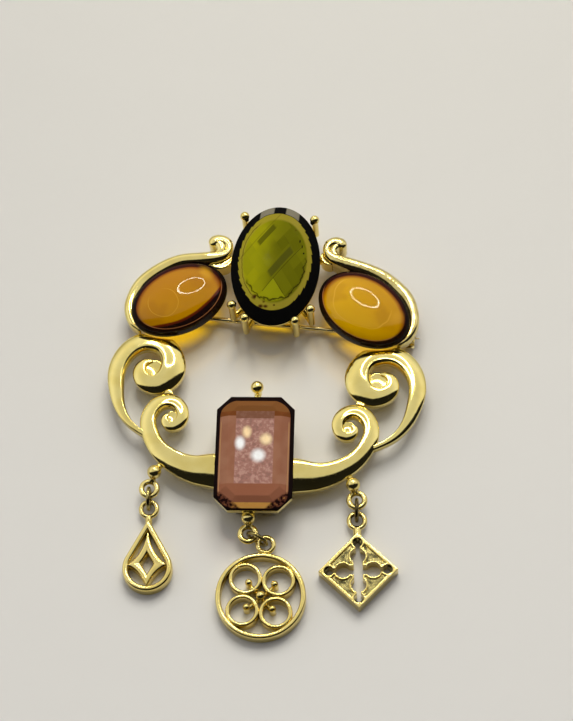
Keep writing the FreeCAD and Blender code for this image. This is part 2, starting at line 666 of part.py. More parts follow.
# ---------------------------------------------------------------- assembly
def build():
    envelopes = {}
    for side, name in ((-1, "left"), (1, "right")):
        envelope, setting, stone = make_amber(side)
        envelopes[name] = envelope
        parts[name + "_amber_setting"] = setting
        parts[name + "_amber_stone"] = stone
    oval_envelope, parts["oval_setting"], parts["oval_stone"] = make_oval()
    parts["oval_prongs"] = make_oval_prongs(oval_envelope, parts["oval_stone"])
    octagon_envelope, parts["octagon_setting"], parts["octagon_stone"] = make_octagon()
    parts["octagon_prong"] = make_octagon_prong(octagon_envelope)
    make_castings(envelopes, oval_envelope, octagon_envelope)
    parts["left_hanger"] = make_hanger("left", [parts["left_small_scroll"]])
    parts["right_hanger"] = make_hanger("right", [parts["right_small_scroll"]])
    parts["centre_hanger"] = make_hanger("centre", [octagon_envelope])
    for name in HANGERS:
        parts[name + "_jump_ring"] = make_jump_ring(name)
    parts["teardrop_charm"] = make_teardrop_charm()
    parts["round_charm"] = make_round_charm()
    parts["diamond_charm"] = make_diamond_charm()
    make_hinge()
    make_pin()
    make_catch()
    make_roller()


build()
os.makedirs("parts", exist_ok=True)
for node, shape in parts.items():
    shape.exportStep("parts/" + node + ".step")
    print(node, len(shape.Solids), "valid" if shape.isValid() else "INVALID", round(shape.Volume, 2))
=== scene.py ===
"""Looks of the scroll brooch: gold-plated castings, four glass stones and three hanging charms.

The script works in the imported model's frame. Sizes are in millimetres and become metres where a
mesh, light or camera is made. The brooch lies on its back: +X right, +Y top, +Z front.
"""
import math

import bmesh
import bpy
import numpy as np
from mathutils import Matrix, Vector


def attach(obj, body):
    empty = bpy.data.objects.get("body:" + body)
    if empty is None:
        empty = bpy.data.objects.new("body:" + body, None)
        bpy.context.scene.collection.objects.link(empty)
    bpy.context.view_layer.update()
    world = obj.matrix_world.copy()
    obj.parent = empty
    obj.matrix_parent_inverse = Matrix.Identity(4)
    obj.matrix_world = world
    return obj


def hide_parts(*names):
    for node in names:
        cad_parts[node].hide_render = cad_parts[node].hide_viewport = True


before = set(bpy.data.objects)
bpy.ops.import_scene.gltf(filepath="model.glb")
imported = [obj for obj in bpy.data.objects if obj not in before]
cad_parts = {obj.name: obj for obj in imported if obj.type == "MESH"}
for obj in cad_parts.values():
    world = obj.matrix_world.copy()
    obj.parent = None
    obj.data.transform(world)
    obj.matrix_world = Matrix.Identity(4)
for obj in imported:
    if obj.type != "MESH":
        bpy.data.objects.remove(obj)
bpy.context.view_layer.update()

MM = 0.001
UP = Vector((0, 0, 1))
GLASS_IOR = 1.5
SEAT_GAP = 0.02  # between a stone and its setting

# ---- camera ----
VIEW_AZIMUTH = 11.301
VIEW_ELEVATION = 65.0
VIEW_ROLL = -7.005
VIEW_DISTANCE = 446.43
VIEW_TARGET = (2.896, 13.0, 0.0)
VIEW_LENS = 124.8

# ---- room: its dark side, a soft key light and a ring lamp ----
DARK_START = 0.30  # the part of a direction that leans to -Y where the dark side begins
DARK_LEAN = 0.6  # how much leaning to +X counts as well
ROOM_LIGHT = 0.98
KEY_HEADING = (0.05, 0.62, 0.78)
KEY_WIDTH = 36.0  # degrees across
KEY_LIGHT = 1.05
LAMP_CENTRE = (12.0, 217.0, 300.0)
LAMP_RADIUS = 86.0
LAMP_TUBE = 4.5
LAMP_STRENGTH = 36.0
FLOOR_REACH = 1.5  # metres

# ---- heights ----
BACK_Z = 2.6
SCROLL_EDGE_Z = 3.8
CRESCENT_EDGE_Z = (4.5, 6.1)
CRESCENT_RISE = (0.3, 0.75)

# ---- amber side stones ----
AMBER_X = {-1: 16.75, 1: 16.3}
AMBER_Y = 21.3
AMBER_TILT = 33.9
AMBER_HALF = (9.0, 6.45)
AMBER_INSETS = (1.6, 0.4)  # at the seat and just under the rim
AMBER_SEAT_Z = 3.4
AMBER_RIM_Z = 4.9
AMBER_GIRDLE_Z = 5.3
AMBER_TOP_Z = 8.7

# ---- oval centre stone ----
OVAL_Y = 28.1
OVAL_HALF = (7.95, 11.7)
OVAL_WALL = 0.78  # the pavilion's distance inside the girdle, at the rim
OVAL_SEAT_Z = 3.5
OVAL_RIM_Z = 6.9
OVAL_GIRDLE_Z = 7.6
OVAL_WINDOW_Z = 9.0
OVAL_TOP_Z = 10.0
OVAL_WINDOW_HALF = (6.7, 9.75)
OVAL_CULET_HALF = (5.0, 8.5)
OVAL_SIDES = 64
CROWN_STEPS = 4  # girdle sides under each crown facet
FACET_STEP = 0.35  # the dome's facet lines, in shares of its window's half axes
# dark marks in the glass: centre, half axes
OLIVE_DASHES = [((4.15, 4.05), (0.16, 0.42)), ((4.62, 3.0), (0.14, 0.45)), ((5.0, 1.7), (0.2, 0.25))]
OLIVE_SPECKS = [((-2.9, -7.3), (0.9, 0.7)), ((-1.8, -9.0), (0.7, 0.5)), ((-0.9, -9.0), (0.6, 0.4)),
                ((-1.3, -8.1), (0.4, 0.4)), ((0.6, -8.7), (0.3, 0.25)), ((3.2, 6.3), (0.2, 0.2))]

# ---- octagonal lower stone ----
OCT_CENTRE = (-0.55, -7.9)
OCT_TWIST = 3.3
OCT_SIZE = (13.7, 21.3, 2.45)
OCT_FOOT = (10.2, 17.2, 1.8)
OCT_WALL = 0.5  # the pavilion's distance inside the girdle, at the rim
OCT_GIRDLE_INSET = 0.05
OCT_BAND_Z = 5.0
OCT_RIM_Z = 6.2
OCT_GIRDLE_Z = 6.6
OCT_CULET = (6.4, 12.4, 1.0)
OCT_CULET_Z = 2.6
OCT_TABLE = (9.2, 16.8, 1.7)
OCT_TOP_Z = 7.9
OCT_STEP_DROP = 0.5  # depth of the middle step below the table
OCT_CORNER_LOSS = 0.586  # how much shorter a corner's cut gets per millimetre of inset
OCT_BEVEL = 0.06
OCT_TRIM_SINK = 0.22  # how deep the scrolls' ends sit in the setting's wall
ROSE_WINDOW = (6.12, 9.9)  # half sizes of the clear part inside the black frame
ROSE_WINDOW_Y = -0.45
ROSE_CORNER = 2.9
COOL_GLINT = (0.95, 0.97, 1.0)
# painted glints, lamp reflections in the glass: centre, half axes, colour
ROSE_GLINTS = [
    ((-2.43, 1.3), (1.2, 1.75), COOL_GLINT), ((0.76, -0.95), (1.7, 1.7), COOL_GLINT),
    ((-1.3, 3.4), (1.1, 1.5), (0.95, 0.72, 0.42)), ((2.04, 2.05), (1.45, 1.5), (0.97, 0.76, 0.45))]

# ---- jump rings ----
EYELET_Z = 2.2
JUMP_RING = (1.85, 0.33)
JUMP_SLIT = 0.012  # half the slit, in radians
JUMP_START = 0.9  # where round the ring the slit is
JUMP_RINGS = {
    # name: eyelet centre, direction to the charm in degrees
    "left": ((-18.65, -14.05), -86.0),
    "centre": ((-0.7, -21.25), -24.5),
    "right": ((17.55, -13.8), -86.0),
}

# ---- charms: drawn with the loop's centre at the origin, hanging toward -Y ----
CHARM_TURN = {"left": 4.8, "centre": 0.0, "right": 5.8}
CHARM_SPACING = 3.45  # eyelet centre to loop centre
CHARM_THICK = 2.3
CHARM_LOOP = (1.38, 0.42)
CHARM_LOOP_Z = 1.3
ROUND_DROP = 9.5
ROUND_RIM = (7.75, 6.85)
ROUND_RING = (2.88, 2.16)
ROUND_REACH = 4.05
ROUND_STUD = 0.62
ROUND_STUD_REACH = 3.15
ROUND_BOSS = 0.85
ROUND_WEB = (0.62, 0.45)  # height, radius
DROP_FALL = 10.95
DROP_SIZE = (4.3, 9.0)  # round end's radius, reach of the point
DROP_RIM = 1.0
DROP_NECK = (2.6, 1.2, 0.6)  # fall below the loop, height, radius
DROP_STAR = [(-3.6, 0.4), (0.0, -3.6), (3.6, 0.4), (0.0, 7.2)]
DROP_STAR_BOWS = [(-1.55, -0.95), (1.55, -0.95), (1.2, 3.0), (-1.2, 3.0)]
DROP_WINDOW = [(-1.15, 0.75), (0.0, -1.2), (1.15, 0.75), (0.0, 2.7)]
DIAMOND_FALL = 9.35
DIAMOND_HALF = 6.85
DIAMOND_FIELD = 0.87
DIAMOND_RECESS = 0.4
DIAMOND_LIP = 0.34
DIAMOND_SHEET = 0.03  # height of the mottled sheet above the recess
DIAMOND_LOBES = [(2.6, 1.3, 0.75), (5.05, 0.82, 0.35)]  # offset, radius, half width of its slot

# ---- plan curves of the right-hand castings: x, y, half width ----
LARGE_SCROLL = [
    (19.7, -4.55, 0.45), (22.95, -2.5, 0.62), (25.55, 1.25, 1.05), (26.35, 4.05, 1.35),
    (26.7, 6.6, 1.52), (26.4, 8.9, 1.6), (25.4, 10.95, 1.66), (23.85, 12.55, 1.72),
    (21.8, 13.4, 1.76), (19.85, 13.35, 1.8), (17.95, 12.6, 1.9), (16.5, 10.85, 2.1),
    (16.05, 8.6, 2.3), (17.0, 6.35, 2.15), (19.1, 5.25, 1.85), (21.0, 5.75, 1.6),
    (22.15, 7.2, 1.35), (21.95, 8.8, 0.95), (20.95, 9.6, 0.55), (19.95, 9.7, 0.22)]
SMALL_SCROLL = [
    (4.9, -10.6, 3.3), (7.1, -10.45, 3.1), (9.5, -10.45, 2.7), (12.2, -9.85, 2.25),
    (14.5, -8.75, 1.95), (16.5, -7.25, 1.7), (17.95, -5.4, 1.55), (18.9, -3.3, 1.48),
    (19.2, -1.4, 1.42), (18.7, 0.4, 1.38), (17.45, 1.8, 1.34), (15.75, 2.25, 1.28),
    (14.1, 1.5, 1.2), (13.25, -0.2, 1.1), (13.75, -1.9, 0.98), (15.05, -2.6, 0.86),
    (16.15, -1.95, 0.68), (16.3, -0.9, 0.45), (15.6, -0.4, 0.2)]
CRESCENT = [
    (22.5, 15.2, 0.4), (23.95, 16.5, 0.8), (24.8, 18.2, 1.0), (25.1, 20.2, 1.05),
    (24.7, 22.3, 1.1), (23.65, 24.45, 1.25), (21.85, 26.35, 1.28), (19.3, 28.1, 1.25),
    (16.35, 29.25, 1.15)]
RIGHT_CURL = [
    (13.6, 29.9, 1.15), (11.3, 30.5, 1.1), (9.6, 31.25, 0.88), (8.72, 32.5, 0.66),
    (9.15, 33.75, 0.78), (10.25, 34.3, 0.86), (11.3, 33.8, 1.02), (11.45, 32.9, 0.95)]
LEFT_CURL = [
    (13.5, 29.5, 1.15), (11.0, 29.85, 1.12), (9.2, 30.4, 0.92), (8.25, 31.6, 0.68),
    (8.65, 32.85, 0.84), (9.85, 33.35, 1.0), (11.0, 32.95, 1.18), (11.2, 31.95, 1.1)]
# the curls' inner tongues, from the bulb back to the arm
RIGHT_TONGUE = [(11.0, 33.7, 0.5), (10.3, 33.2, 0.6), (9.95, 32.4, 0.6), (10.4, 31.6, 0.5),
                (11.6, 30.9, 0.4)]
LEFT_TONGUE = [(10.7, 32.9, 0.8), (9.8, 32.2, 0.95), (9.7, 31.3, 0.85), (10.7, 30.3, 0.6)]
# the thin floors of the spirals' eyes: centre, radius
LARGE_EYE = ((19.6, 8.3), 1.8)
SMALL_EYE = ((15.1, -0.75), 1.15)
# how a curve is fitted to a side: scale in x, the x it is scaled about, shift in x
LEFT_LARGE = (0.93, 21.0, -0.4)
LEFT_SMALL = (1.0, 0.0, -0.85)
LEFT_CRESCENT = (1.0, 0.0, -0.5)
RIGHT_PLAIN = (1.0, 0.0, 0.0)
SIDES = ((-1, "left"), (1, "right"))

INNER_CREST = 0.62  # a scroll's highest line lies this share of its half width inward
CRESCENT_CREST = 0.15
EDGE_FILLET = 0.16
BAND_STEP = 0.25  # spacing of a casting's cross-sections
DOME_EDGE_ANGLE = 56.0  # slope of a casting's top where it meets the edge


# ======== node fields
def set_inputs(node, values):
    for name, value in values.items():
        node.inputs[name].default_value = value


class Field:
    """A shader socket that takes arithmetic with numbers and other fields."""

    def __init__(self, tree, socket):
        self.tree = tree
        self.socket = socket

    def math(self, operation, other=None):
        node = self.tree.nodes.new("ShaderNodeMath")
        node.operation = operation
        self.tree.links.new(self.socket, node.inputs[0])
        if isinstance(other, Field):
            self.tree.links.new(other.socket, node.inputs[1])
        elif other is not None:
            node.inputs[1].default_value = other
        return Field(self.tree, node.outputs[0])

    def __add__(self, other):
        return self.math("ADD", other)

    def __sub__(self, other):
        return self.math("SUBTRACT", other)

    def __mul__(self, other):
        return self.math("MULTIPLY", other)

    def __truediv__(self, other):
        return self.math("DIVIDE", other)

    def square(self):
        return self.math("MULTIPLY", self)

    def root(self):
        return self.math("SQRT")

    def size(self):
        return self.math("ABSOLUTE")

    def least(self, other):
        return self.math("MINIMUM", other)

    def most(self, other):
        return self.math("MAXIMUM", other)

    def flipped(self):
        """1 minus this field."""
        return self.math("MULTIPLY", -1.0).math("ADD", 1.0)

    def step(self, low, high):
        """0 below low, 1 above high, smooth between."""
        node = self.tree.nodes.new("ShaderNodeMapRange")
        node.interpolation_type = "SMOOTHSTEP"
        self.tree.links.new(self.socket, node.inputs["Value"])
        set_inputs(node, {"From Min": low, "From Max": high})
        return Field(self.tree, node.outputs["Result"])

    def line(self, centre, half):
        """1 on a line where this field equals centre, fading out over half."""
        return (self - centre).size().step(0.0, half).flipped()

    def between(self, low, high, soft):
        """1 between low and high, with edges softened over soft each way."""
        return self.step(low - soft, low + soft) * self.step(high - soft, high + soft).flipped()


def colour_mix(tree, share, first, second):
    """Colour socket: first where share is 0, second where it is 1."""
    node = tree.nodes.new("ShaderNodeMix")
    node.data_type = "RGBA"
    tree.links.new(share.socket, node.inputs[0])
    for value, socket in ((first, node.inputs[6]), (second, node.inputs[7])):
        if isinstance(value, tuple):
            socket.default_value = (*value, 1.0)
        else:
            tree.links.new(value, socket)
    return node.outputs[2]


def place_fields(tree):
    """Fields for an object's own x and y in millimetres, and the vector they come from."""
    coordinates = tree.nodes.new("ShaderNodeTexCoord")
    scale = tree.nodes.new("ShaderNodeVectorMath")
    scale.operation = "SCALE"
    set_inputs(scale, {"Scale": 1 / MM})
    tree.links.new(coordinates.outputs["Object"], scale.inputs[0])
    parts = tree.nodes.new("ShaderNodeSeparateXYZ")
    tree.links.new(scale.outputs[0], parts.inputs[0])
    return [Field(tree, parts.outputs[i]) for i in range(2)], scale.outputs[0]


def noise_field(tree, vector, scale, detail=2.0):
    """Noise between 0 and 1; scale is in cycles per millimetre."""
    node = tree.nodes.new("ShaderNodeTexNoise")
    set_inputs(node, {"Scale": scale, "Detail": detail})
    tree.links.new(vector, node.inputs["Vector"])
    return Field(tree, node.outputs["Fac"])


def cell_shade(tree, first, second):
    """A different steady value between 0 and 1 in each unit cell of two fields."""
    cell = tree.nodes.new("ShaderNodeCombineXYZ")
    tree.links.new(first.math("FLOOR").socket, cell.inputs[0])
    tree.links.new(second.math("FLOOR").socket, cell.inputs[1])
    node = tree.nodes.new("ShaderNodeTexWhiteNoise")
    tree.links.new(cell.outputs[0], node.inputs["Vector"])
    return Field(tree, node.outputs["Value"])


def oval_radius(x, y, half):
    """0 at an ellipse's centre, 1 on it."""
    return ((x / half[0]).square() + (y / half[1]).square()).root()


def spot(x, y, centre, size, soft=0.5):
    """1 inside a small ellipse, fading to 0 at its edge."""
    return oval_radius(x - centre[0], y - centre[1], size).step(1 - soft, 1.0).flipped()


def painted(tree, ground, layers):
    """Colour socket of a ground with (share, colour) layers laid over it in turn."""
    for share, colour in layers:
        ground = colour_mix(tree, share, ground, colour)
    return ground


def new_material(name):
    material = bpy.data.materials.new(name)
    material.use_nodes = True
    tree = material.node_tree
    return material, tree, tree.nodes["Principled BSDF"]


def bump(tree, shader, height, distance, strength):
    """distance is in millimetres."""
    node = tree.nodes.new("ShaderNodeBump")
    set_inputs(node, {"Distance": distance * MM, "Strength": strength})
    tree.links.new(height.socket, node.inputs["Height"])
    tree.links.new(node.outputs["Normal"], shader.inputs["Normal"])


# ======== materials
def gold_material(name, bright, deep, roughness, ripple, patches=0.22):
    """Gold plating: fine colour drift, uneven polish and a slight cast ripple."""
    material, tree, shader = new_material(name)
    vector = place_fields(tree)[1]
    drift = noise_field(tree, vector, patches).step(0.35, 0.7)
    grain = noise_field(tree, vector, 3.2, 3.0)
    tree.links.new(colour_mix(tree, drift, bright, deep), shader.inputs["Base Color"])
    set_inputs(shader, {"Metallic": 1.0})
    polish = (grain - 0.5) * 0.1 + roughness
    tree.links.new(polish.socket, shader.inputs["Roughness"])
    wave = noise_field(tree, vector, 0.9, 1.0) * 0.75 + grain * 0.25
    bump(tree, shader, wave, ripple, 0.6)
    return material


def glass_shader(material, tree, shader, colour, shade_colour, clarity, gloss):
    """Coloured glass, cloudy enough to hold its colour, that tints the light it lets through."""
    tree.links.new(colour, shader.inputs["Base Color"])
    set_inputs(shader, {"Roughness": 0.03, "Transmission Weight": clarity, "IOR": GLASS_IOR,
                        "Specular IOR Level": gloss})
    clear = tree.nodes.new("ShaderNodeBsdfTransparent")
    set_inputs(clear, {"Color": (*shade_colour, 1.0)})
    path = tree.nodes.new("ShaderNodeLightPath")
    shadow = Field(tree, path.outputs["Is Shadow Ray"])
    soft = shadow.most(Field(tree, path.outputs["Is Diffuse Ray"]))
    mix = tree.nodes.new("ShaderNodeMixShader")
    tree.links.new(soft.socket, mix.inputs[0])
    tree.links.new(shader.outputs["BSDF"], mix.inputs[1])
    tree.links.new(clear.outputs["BSDF"], mix.inputs[2])
    tree.links.new(mix.outputs[0], tree.nodes["Material Output"].inputs["Surface"])
    return material


def amber_material(name, honey, glow, lean, shade, inner_reflection):
    """Honey glass with a painted glow low down, a painted rim of shade that goes brown and then black,
    and painted highlights.

    lean moves the clear part along the stone, shade is the height of the curve below which a dark
    wedge of shade is painted, and the last argument is the centre and half axes of a faint bright line
    inside, a painted inner reflection."""
    material, tree, shader = new_material(name)
    (x, y), vector = place_fields(tree)
    swirl = noise_field(tree, vector, 0.16, 2.0)
    clear = oval_radius(x - lean, y + 1.0, AMBER_HALF) + (swirl - 0.5) * 0.06
    edge = oval_radius(x, y, AMBER_HALF)
    below = (x + 0.5).square() * 0.042 - y + shade + (swirl - 0.5) * 0.5
    low = (y * -0.8 - x * 0.2 + swirl * 3.0).step(-2.0, 5.5)
    inner_reflection_radius = oval_radius(x - inner_reflection[0], y - inner_reflection[1], inner_reflection[2]) + (swirl - 0.5) * 0.5
    colour = painted(tree, honey, [
        # painted light: the glow low down in the stone
        (low, glow),
        (swirl.step(0.45, 0.6) * 0.3, (0.30, 0.11, 0.003)),
        # painted inner reflection: a faint bright line inside the stone
        (inner_reflection_radius.line(1.0, 0.035) * y.step(2.5, 0.5) * 0.55, (0.75, 0.45, 0.03)),
        # painted shade: a brown and then black rim, and the dark wedge below the curve
        (clear.step(0.78, 0.89) * 0.8, (0.20, 0.04, 0.005)),
        (clear.step(0.87, 0.93), (0.03, 0.006, 0.005)),
        (below.step(-0.2, 0.08), (0.12, 0.018, 0.004)),
        (below.step(0.1, 0.5), (0.006, 0.003, 0.005)),
        # painted highlight: a warm glint toward the stone's +x end
        (spot(x, y, (6.2, 1.2), (1.5, 2.4), 0.9) * 0.7, (0.62, 0.33, 0.01)),
        # painted shade: the black outer rim, crossed low down by a painted light line
        (edge.step(0.88, 0.92), (0.008, 0.004, 0.004)),
        (edge.line(0.90, 0.014) * y.step(-0.5, -2.5) * 0.7, (0.55, 0.24, 0.10)),
        (edge.step(0.945, 0.97), (0.004, 0.003, 0.003))])
    gleam = clear.step(0.80, 0.92).flipped() * 0.2
    tree.links.new(gleam.socket, shader.inputs["Specular IOR Level"])
    return glass_shader(material, tree, shader, colour, (1.12, 0.86, 0.03), clarity=0.12, gloss=0.2)


def olive_material():
    """Olive glass: painted light and shade per facet, two dark stripes, painted dark inner reflections,
    inner cracks and a black saw-edged rim of painted dark reflection.
    """
    material, tree, shader = new_material("olive_glass")
    (x, y), vector = place_fields(tree)
    cloud = noise_field(tree, vector, 0.2, 2.0)
    ragged = noise_field(tree, vector, 0.7, 3.0)
    across = x / OVAL_WINDOW_HALF[0]
    along = y / OVAL_WINDOW_HALF[1]
    rise = across + along
    fall = across - along
    radius = oval_radius(x, y, OVAL_WINDOW_HALF)
    teeth = (along.math("ARCTAN2", across) * 5.5).math("FRACT")
    inner = radius.step(0.80, 0.84).flipped()
    low = along.step(-0.55, -0.35).flipped()
    right = across.step(0.5, 0.62) * along.step(0.0, 0.12).flipped()
    crack = (radius + (ragged - 0.5) * 0.22).line(0.80, 0.032) * low.most(right)
    left_crack = (radius + (ragged - 0.5) * 0.08).line(0.88, 0.014) * across.step(-0.6, -0.4).flipped()
    saw = radius + teeth * 0.034 * across.size().step(0.45, 0.75)
    crown_top = radius.step(1.0, 1.01) * along.step(0.62, 0.68) * across.size().between(0.16, 0.52, 0.02)
    layers = [
        # painted light and shade: a different brightness on each facet
        (cell_shade(tree, rise / FACET_STEP, fall / FACET_STEP) * 0.45, (0.19, 0.19, 0.006)),
        (radius.step(0.82, 0.88) * 0.8, (0.29, 0.235, 0.025)),
        (fall.between(-0.88, -0.70, 0.012) * rise.between(-0.16, 0.62, 0.05) * 0.75,
         (0.05, 0.05, 0.004)),
        (fall.between(0.08, 0.31, 0.02) * rise.between(-0.42, 0.66, 0.06) * 0.75,
         (0.055, 0.055, 0.007)),
        (fall.step(0.37, 0.39) * rise.step(-0.38, -0.36).flipped() * inner * 0.8, (0.27, 0.28, 0.006)),
        # painted inner reflections: dark lines along the facets
        (fall.line(0.38, 0.022) * rise.between(-0.9, 0.95, 0.02) * 0.75, (0.035, 0.03, 0.004)),
        (rise.line(-0.37, 0.018) * fall.between(0.38, 0.95, 0.02) * 0.7, (0.035, 0.03, 0.004)),
        (rise.line(0.68, 0.016) * fall.between(-0.25, 0.1, 0.05) * 0.4, (0.06, 0.055, 0.006)),
        (fall.line(-0.94, 0.03) * 0.45, (0.09, 0.06, 0.006)),
        (crack.most(left_crack) * 0.9, (0.020, 0.014, 0.003))]
    for centre, size in OLIVE_DASHES:
        layers.append((spot(x, y, centre, size), (0.006, 0.006, 0.003)))
    for centre, size in OLIVE_SPECKS:
        layers.append((spot(x, y, centre, size, 0.8) * ragged.step(0.42, 0.52), (0.045, 0.016, 0.004)))
    # painted dark reflection: the black saw-edged rim; then the grey top crown facets
    layers += [(saw.step(0.985, 0.995), (0.004, 0.004, 0.004)), (crown_top, (0.17, 0.155, 0.115))]
    left = (cloud * 0.8 - across).step(0.15, 1.1)
    bright = colour_mix(tree, left, (0.095, 0.095, 0.003), (0.28, 0.275, 0.005))
    colour = painted(tree, bright, layers)
    return glass_shader(material, tree, shader, colour, (1.2, 0.95, 0.06), clarity=0.004, gloss=0.001)


def rose_material():
    """Rose glass: a mottled inner table, browner steps, four painted glints, a painted orange highlight
    along the bottom, painted dark lower corners and a black rounded frame of painted dark reflection.
    """
    material, tree, shader = new_material("rose_glass")
    (x, y), vector = place_fields(tree)
    cloud = noise_field(tree, vector, 0.3, 2.0)
    grain = noise_field(tree, vector, 1.7, 4.0)
    corner_x = (x.size() - (ROSE_WINDOW[0] - ROSE_CORNER)).most(0.0)
    corner_y = ((y - ROSE_WINDOW_Y).size() - (ROSE_WINDOW[1] - ROSE_CORNER)).most(0.0)
    edge = (corner_x.square() + corner_y.square()).root() - ROSE_CORNER
    table = (x - 0.05).size().step(3.28, 3.34).flipped() * y.between(-6.2, 7.3, 0.03)
    low_corner = (x.size() * 0.75 - y).step(11.7, 12.3)
    layers = [
        (y.step(-6.3, -6.1).flipped() * 0.8, (0.26, 0.095, 0.052)),
        (y.step(6.4, 6.5), (0.165, 0.052, 0.015)),
        (y.step(7.3, 7.35), (0.18, 0.072, 0.022)),
        (table, (0.34, 0.17, 0.14)),
        (table * grain.step(0.5, 0.62) * 0.7, (0.50, 0.30, 0.25)),
        (table * grain.step(0.46, 0.36) * 0.6, (0.24, 0.13, 0.11)),
        (table * y.step(5.9, 6.0) * 0.8, (0.16, 0.065, 0.032)),
        (edge.line(-0.22, 0.16) * y.between(-8.0, 5.5, 0.4) * 0.8, (0.50, 0.27, 0.12)),
        # painted highlight: the orange glint along the bottom
        (y.between(-10.6, -9.5, 0.08) * x.between(-3.9, 3.4, 0.2) * grain.step(0.2, 0.42),
         (0.82, 0.42, 0.10)),
        # painted dark reflection in the lower corners, with painted orange glints
        (low_corner * 0.85, (0.10, 0.032, 0.020)),
        (low_corner * grain.step(0.48, 0.54), (0.015, 0.005, 0.005)),
        (low_corner * grain.step(0.38, 0.33), (0.45, 0.20, 0.05))]
    # painted highlights: the four glints
    for centre, size, colour in ROSE_GLINTS:
        layers.append((spot(x, y, centre, size, 0.75) * (grain * 0.5 + 0.7).least(1.0), colour))
    # painted dark reflection: the black rounded frame
    layers.append((edge.step(-0.04, 0.02), (0.008, 0.004, 0.004)))
    body = colour_mix(tree, cloud.step(0.3, 0.7), (0.275, 0.115, 0.068), (0.32, 0.15, 0.092))
    colour = painted(tree, body, layers)
    return glass_shader(material, tree, shader, colour, (0.82, 0.50, 0.36), clarity=0.02, gloss=0.004)


# bright colour, deep colour, roughness, ripple in millimetres
GOLD = gold_material("gold_plate", (0.90, 0.76, 0.29), (0.83, 0.67, 0.21), 0.09, 0.012)
HAMMERED = gold_material("gold_plate_hammered", (0.82, 0.69, 0.29), (0.68, 0.55, 0.19), 0.12, 0.06, 0.9)
SATIN = gold_material("gold_plate_satin", (0.85, 0.70, 0.27), (0.78, 0.62, 0.20), 0.16, 0.02)
MOTTLED = gold_material("gold_plate_mottled", (0.42, 0.36, 0.15), (0.05, 0.045, 0.02), 0.2, 0.03, 1.1)
# jump rings: dark patches painted over the gold stand in for its dark reflections
PAINTED_DARK_GOLD = gold_material("gold_plate_painted_dark", (0.42, 0.34, 0.12), (0.05, 0.035, 0.015), 0.12, 0.02, 0.55)
STEEL = gold_material("gold_steel", (0.84, 0.71, 0.36), (0.78, 0.64, 0.29), 0.12, 0.004)
AMBERS = {
    "left": amber_material("amber_glass_left", (0.43, 0.18, 0.0), (0.52, 0.25, 0.0), -0.5, -4.65,
                           (-3.4, -0.4, (2.6, 2.6))),
    "right": amber_material("amber_glass_right", (0.52, 0.265, 0.0), (0.66, 0.385, 0.0), 0.5, -9.0,
                            (-0.3, -0.3, (5.9, 3.9))),
}
OLIVE = olive_material()
ROSE = rose_material()
SOFT_CASTINGS = [
    # material, body, voxel in millimetres, smoothing passes, CAD nodes
    (GOLD, "brooch", 0.12, 14, ["left_bridge", "right_bridge"]),
    (GOLD, "brooch", 0.08, 14, ["left_scroll_link", "right_scroll_link"]),
    (GOLD, "brooch", 0.12, 3, ["left_amber_setting", "right_amber_setting", "oval_setting",
                               "octagon_setting"]),
    (GOLD, "brooch", 0.1, 4, ["oval_prongs", "octagon_prong"]),
    (SATIN, "brooch", 0.1, 4, ["left_hanger", "centre_hanger", "right_hanger"]),
    (SATIN, "brooch", 0.08, 4, ["pin_hinge_base"]),
    (SATIN, "brooch", 0.08, 3, ["catch_body"]),
    (SATIN, "diamond", 0.07, 3, ["diamond_charm"]),
]


# ======== mesh helpers
def link(obj):
    bpy.context.scene.collection.objects.link(obj)


def piece(name, mesh, material, body, nodes, place=None):
    """A finished mesh in millimetres becomes a piece that rides on a body."""
    mesh.transform(Matrix.Scale(MM, 4))
    obj = bpy.data.objects.new(name, mesh)
    link(obj)
    mesh.materials.clear()
    mesh.materials.append(material)
    if place is not None:
        obj.matrix_world = place
    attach(obj, body)
    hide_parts(*nodes)


def turned(x, y, degrees, unit=MM):
    """Place at a plan point in millimetres, turned about Z."""
    turn = Matrix.Rotation(math.radians(degrees), 4, "Z")
    return Matrix.Translation(Vector((x, y, 0)) * unit) @ turn


def turns(count):
    """Equal steps of a full turn, in radians."""
    return [2 * math.pi * i / count for i in range(count)]


def finished(bm, name, sharp_degrees=180.0):
    bmesh.ops.remove_doubles(bm, verts=bm.verts, dist=1e-5)
    bmesh.ops.recalc_face_normals(bm, faces=bm.faces)
    mesh = bpy.data.meshes.new(name)
    bm.to_mesh(mesh)
    bm.free()
    mesh.polygons.foreach_set("use_smooth", [True] * len(mesh.polygons))
    if sharp_degrees < 180.0:
        mesh.set_sharp_from_angle(angle=math.radians(sharp_degrees))
    return mesh


def lofted(loops, bm=None, closed_ends=True):
    """bmesh through loops of equal length; each loop is closed. It may be added to an earlier one."""
    bm = bm or bmesh.new()
    rows = [[bm.verts.new(point) for point in loop] for loop in loops]
    count = len(rows[0])
    for lower, upper in zip(rows, rows[1:]):
        for i in range(count):
            j = (i + 1) % count
            bm.faces.new((lower[i], lower[j], upper[j], upper[i]))
    if closed_ends:
        bm.faces.new(rows[0])
        bm.faces.new(rows[-1])
    return bm


def wire_loop(middle, first, second, radius, count):
    """Round section about a point, in the plane of two unit vectors."""
    return [middle + (first * math.cos(a) + second * math.sin(a)) * radius for a in turns(count)]


def part_way(first, last, share):
    return tuple(a + (b - a) * share for a, b in zip(first, last))


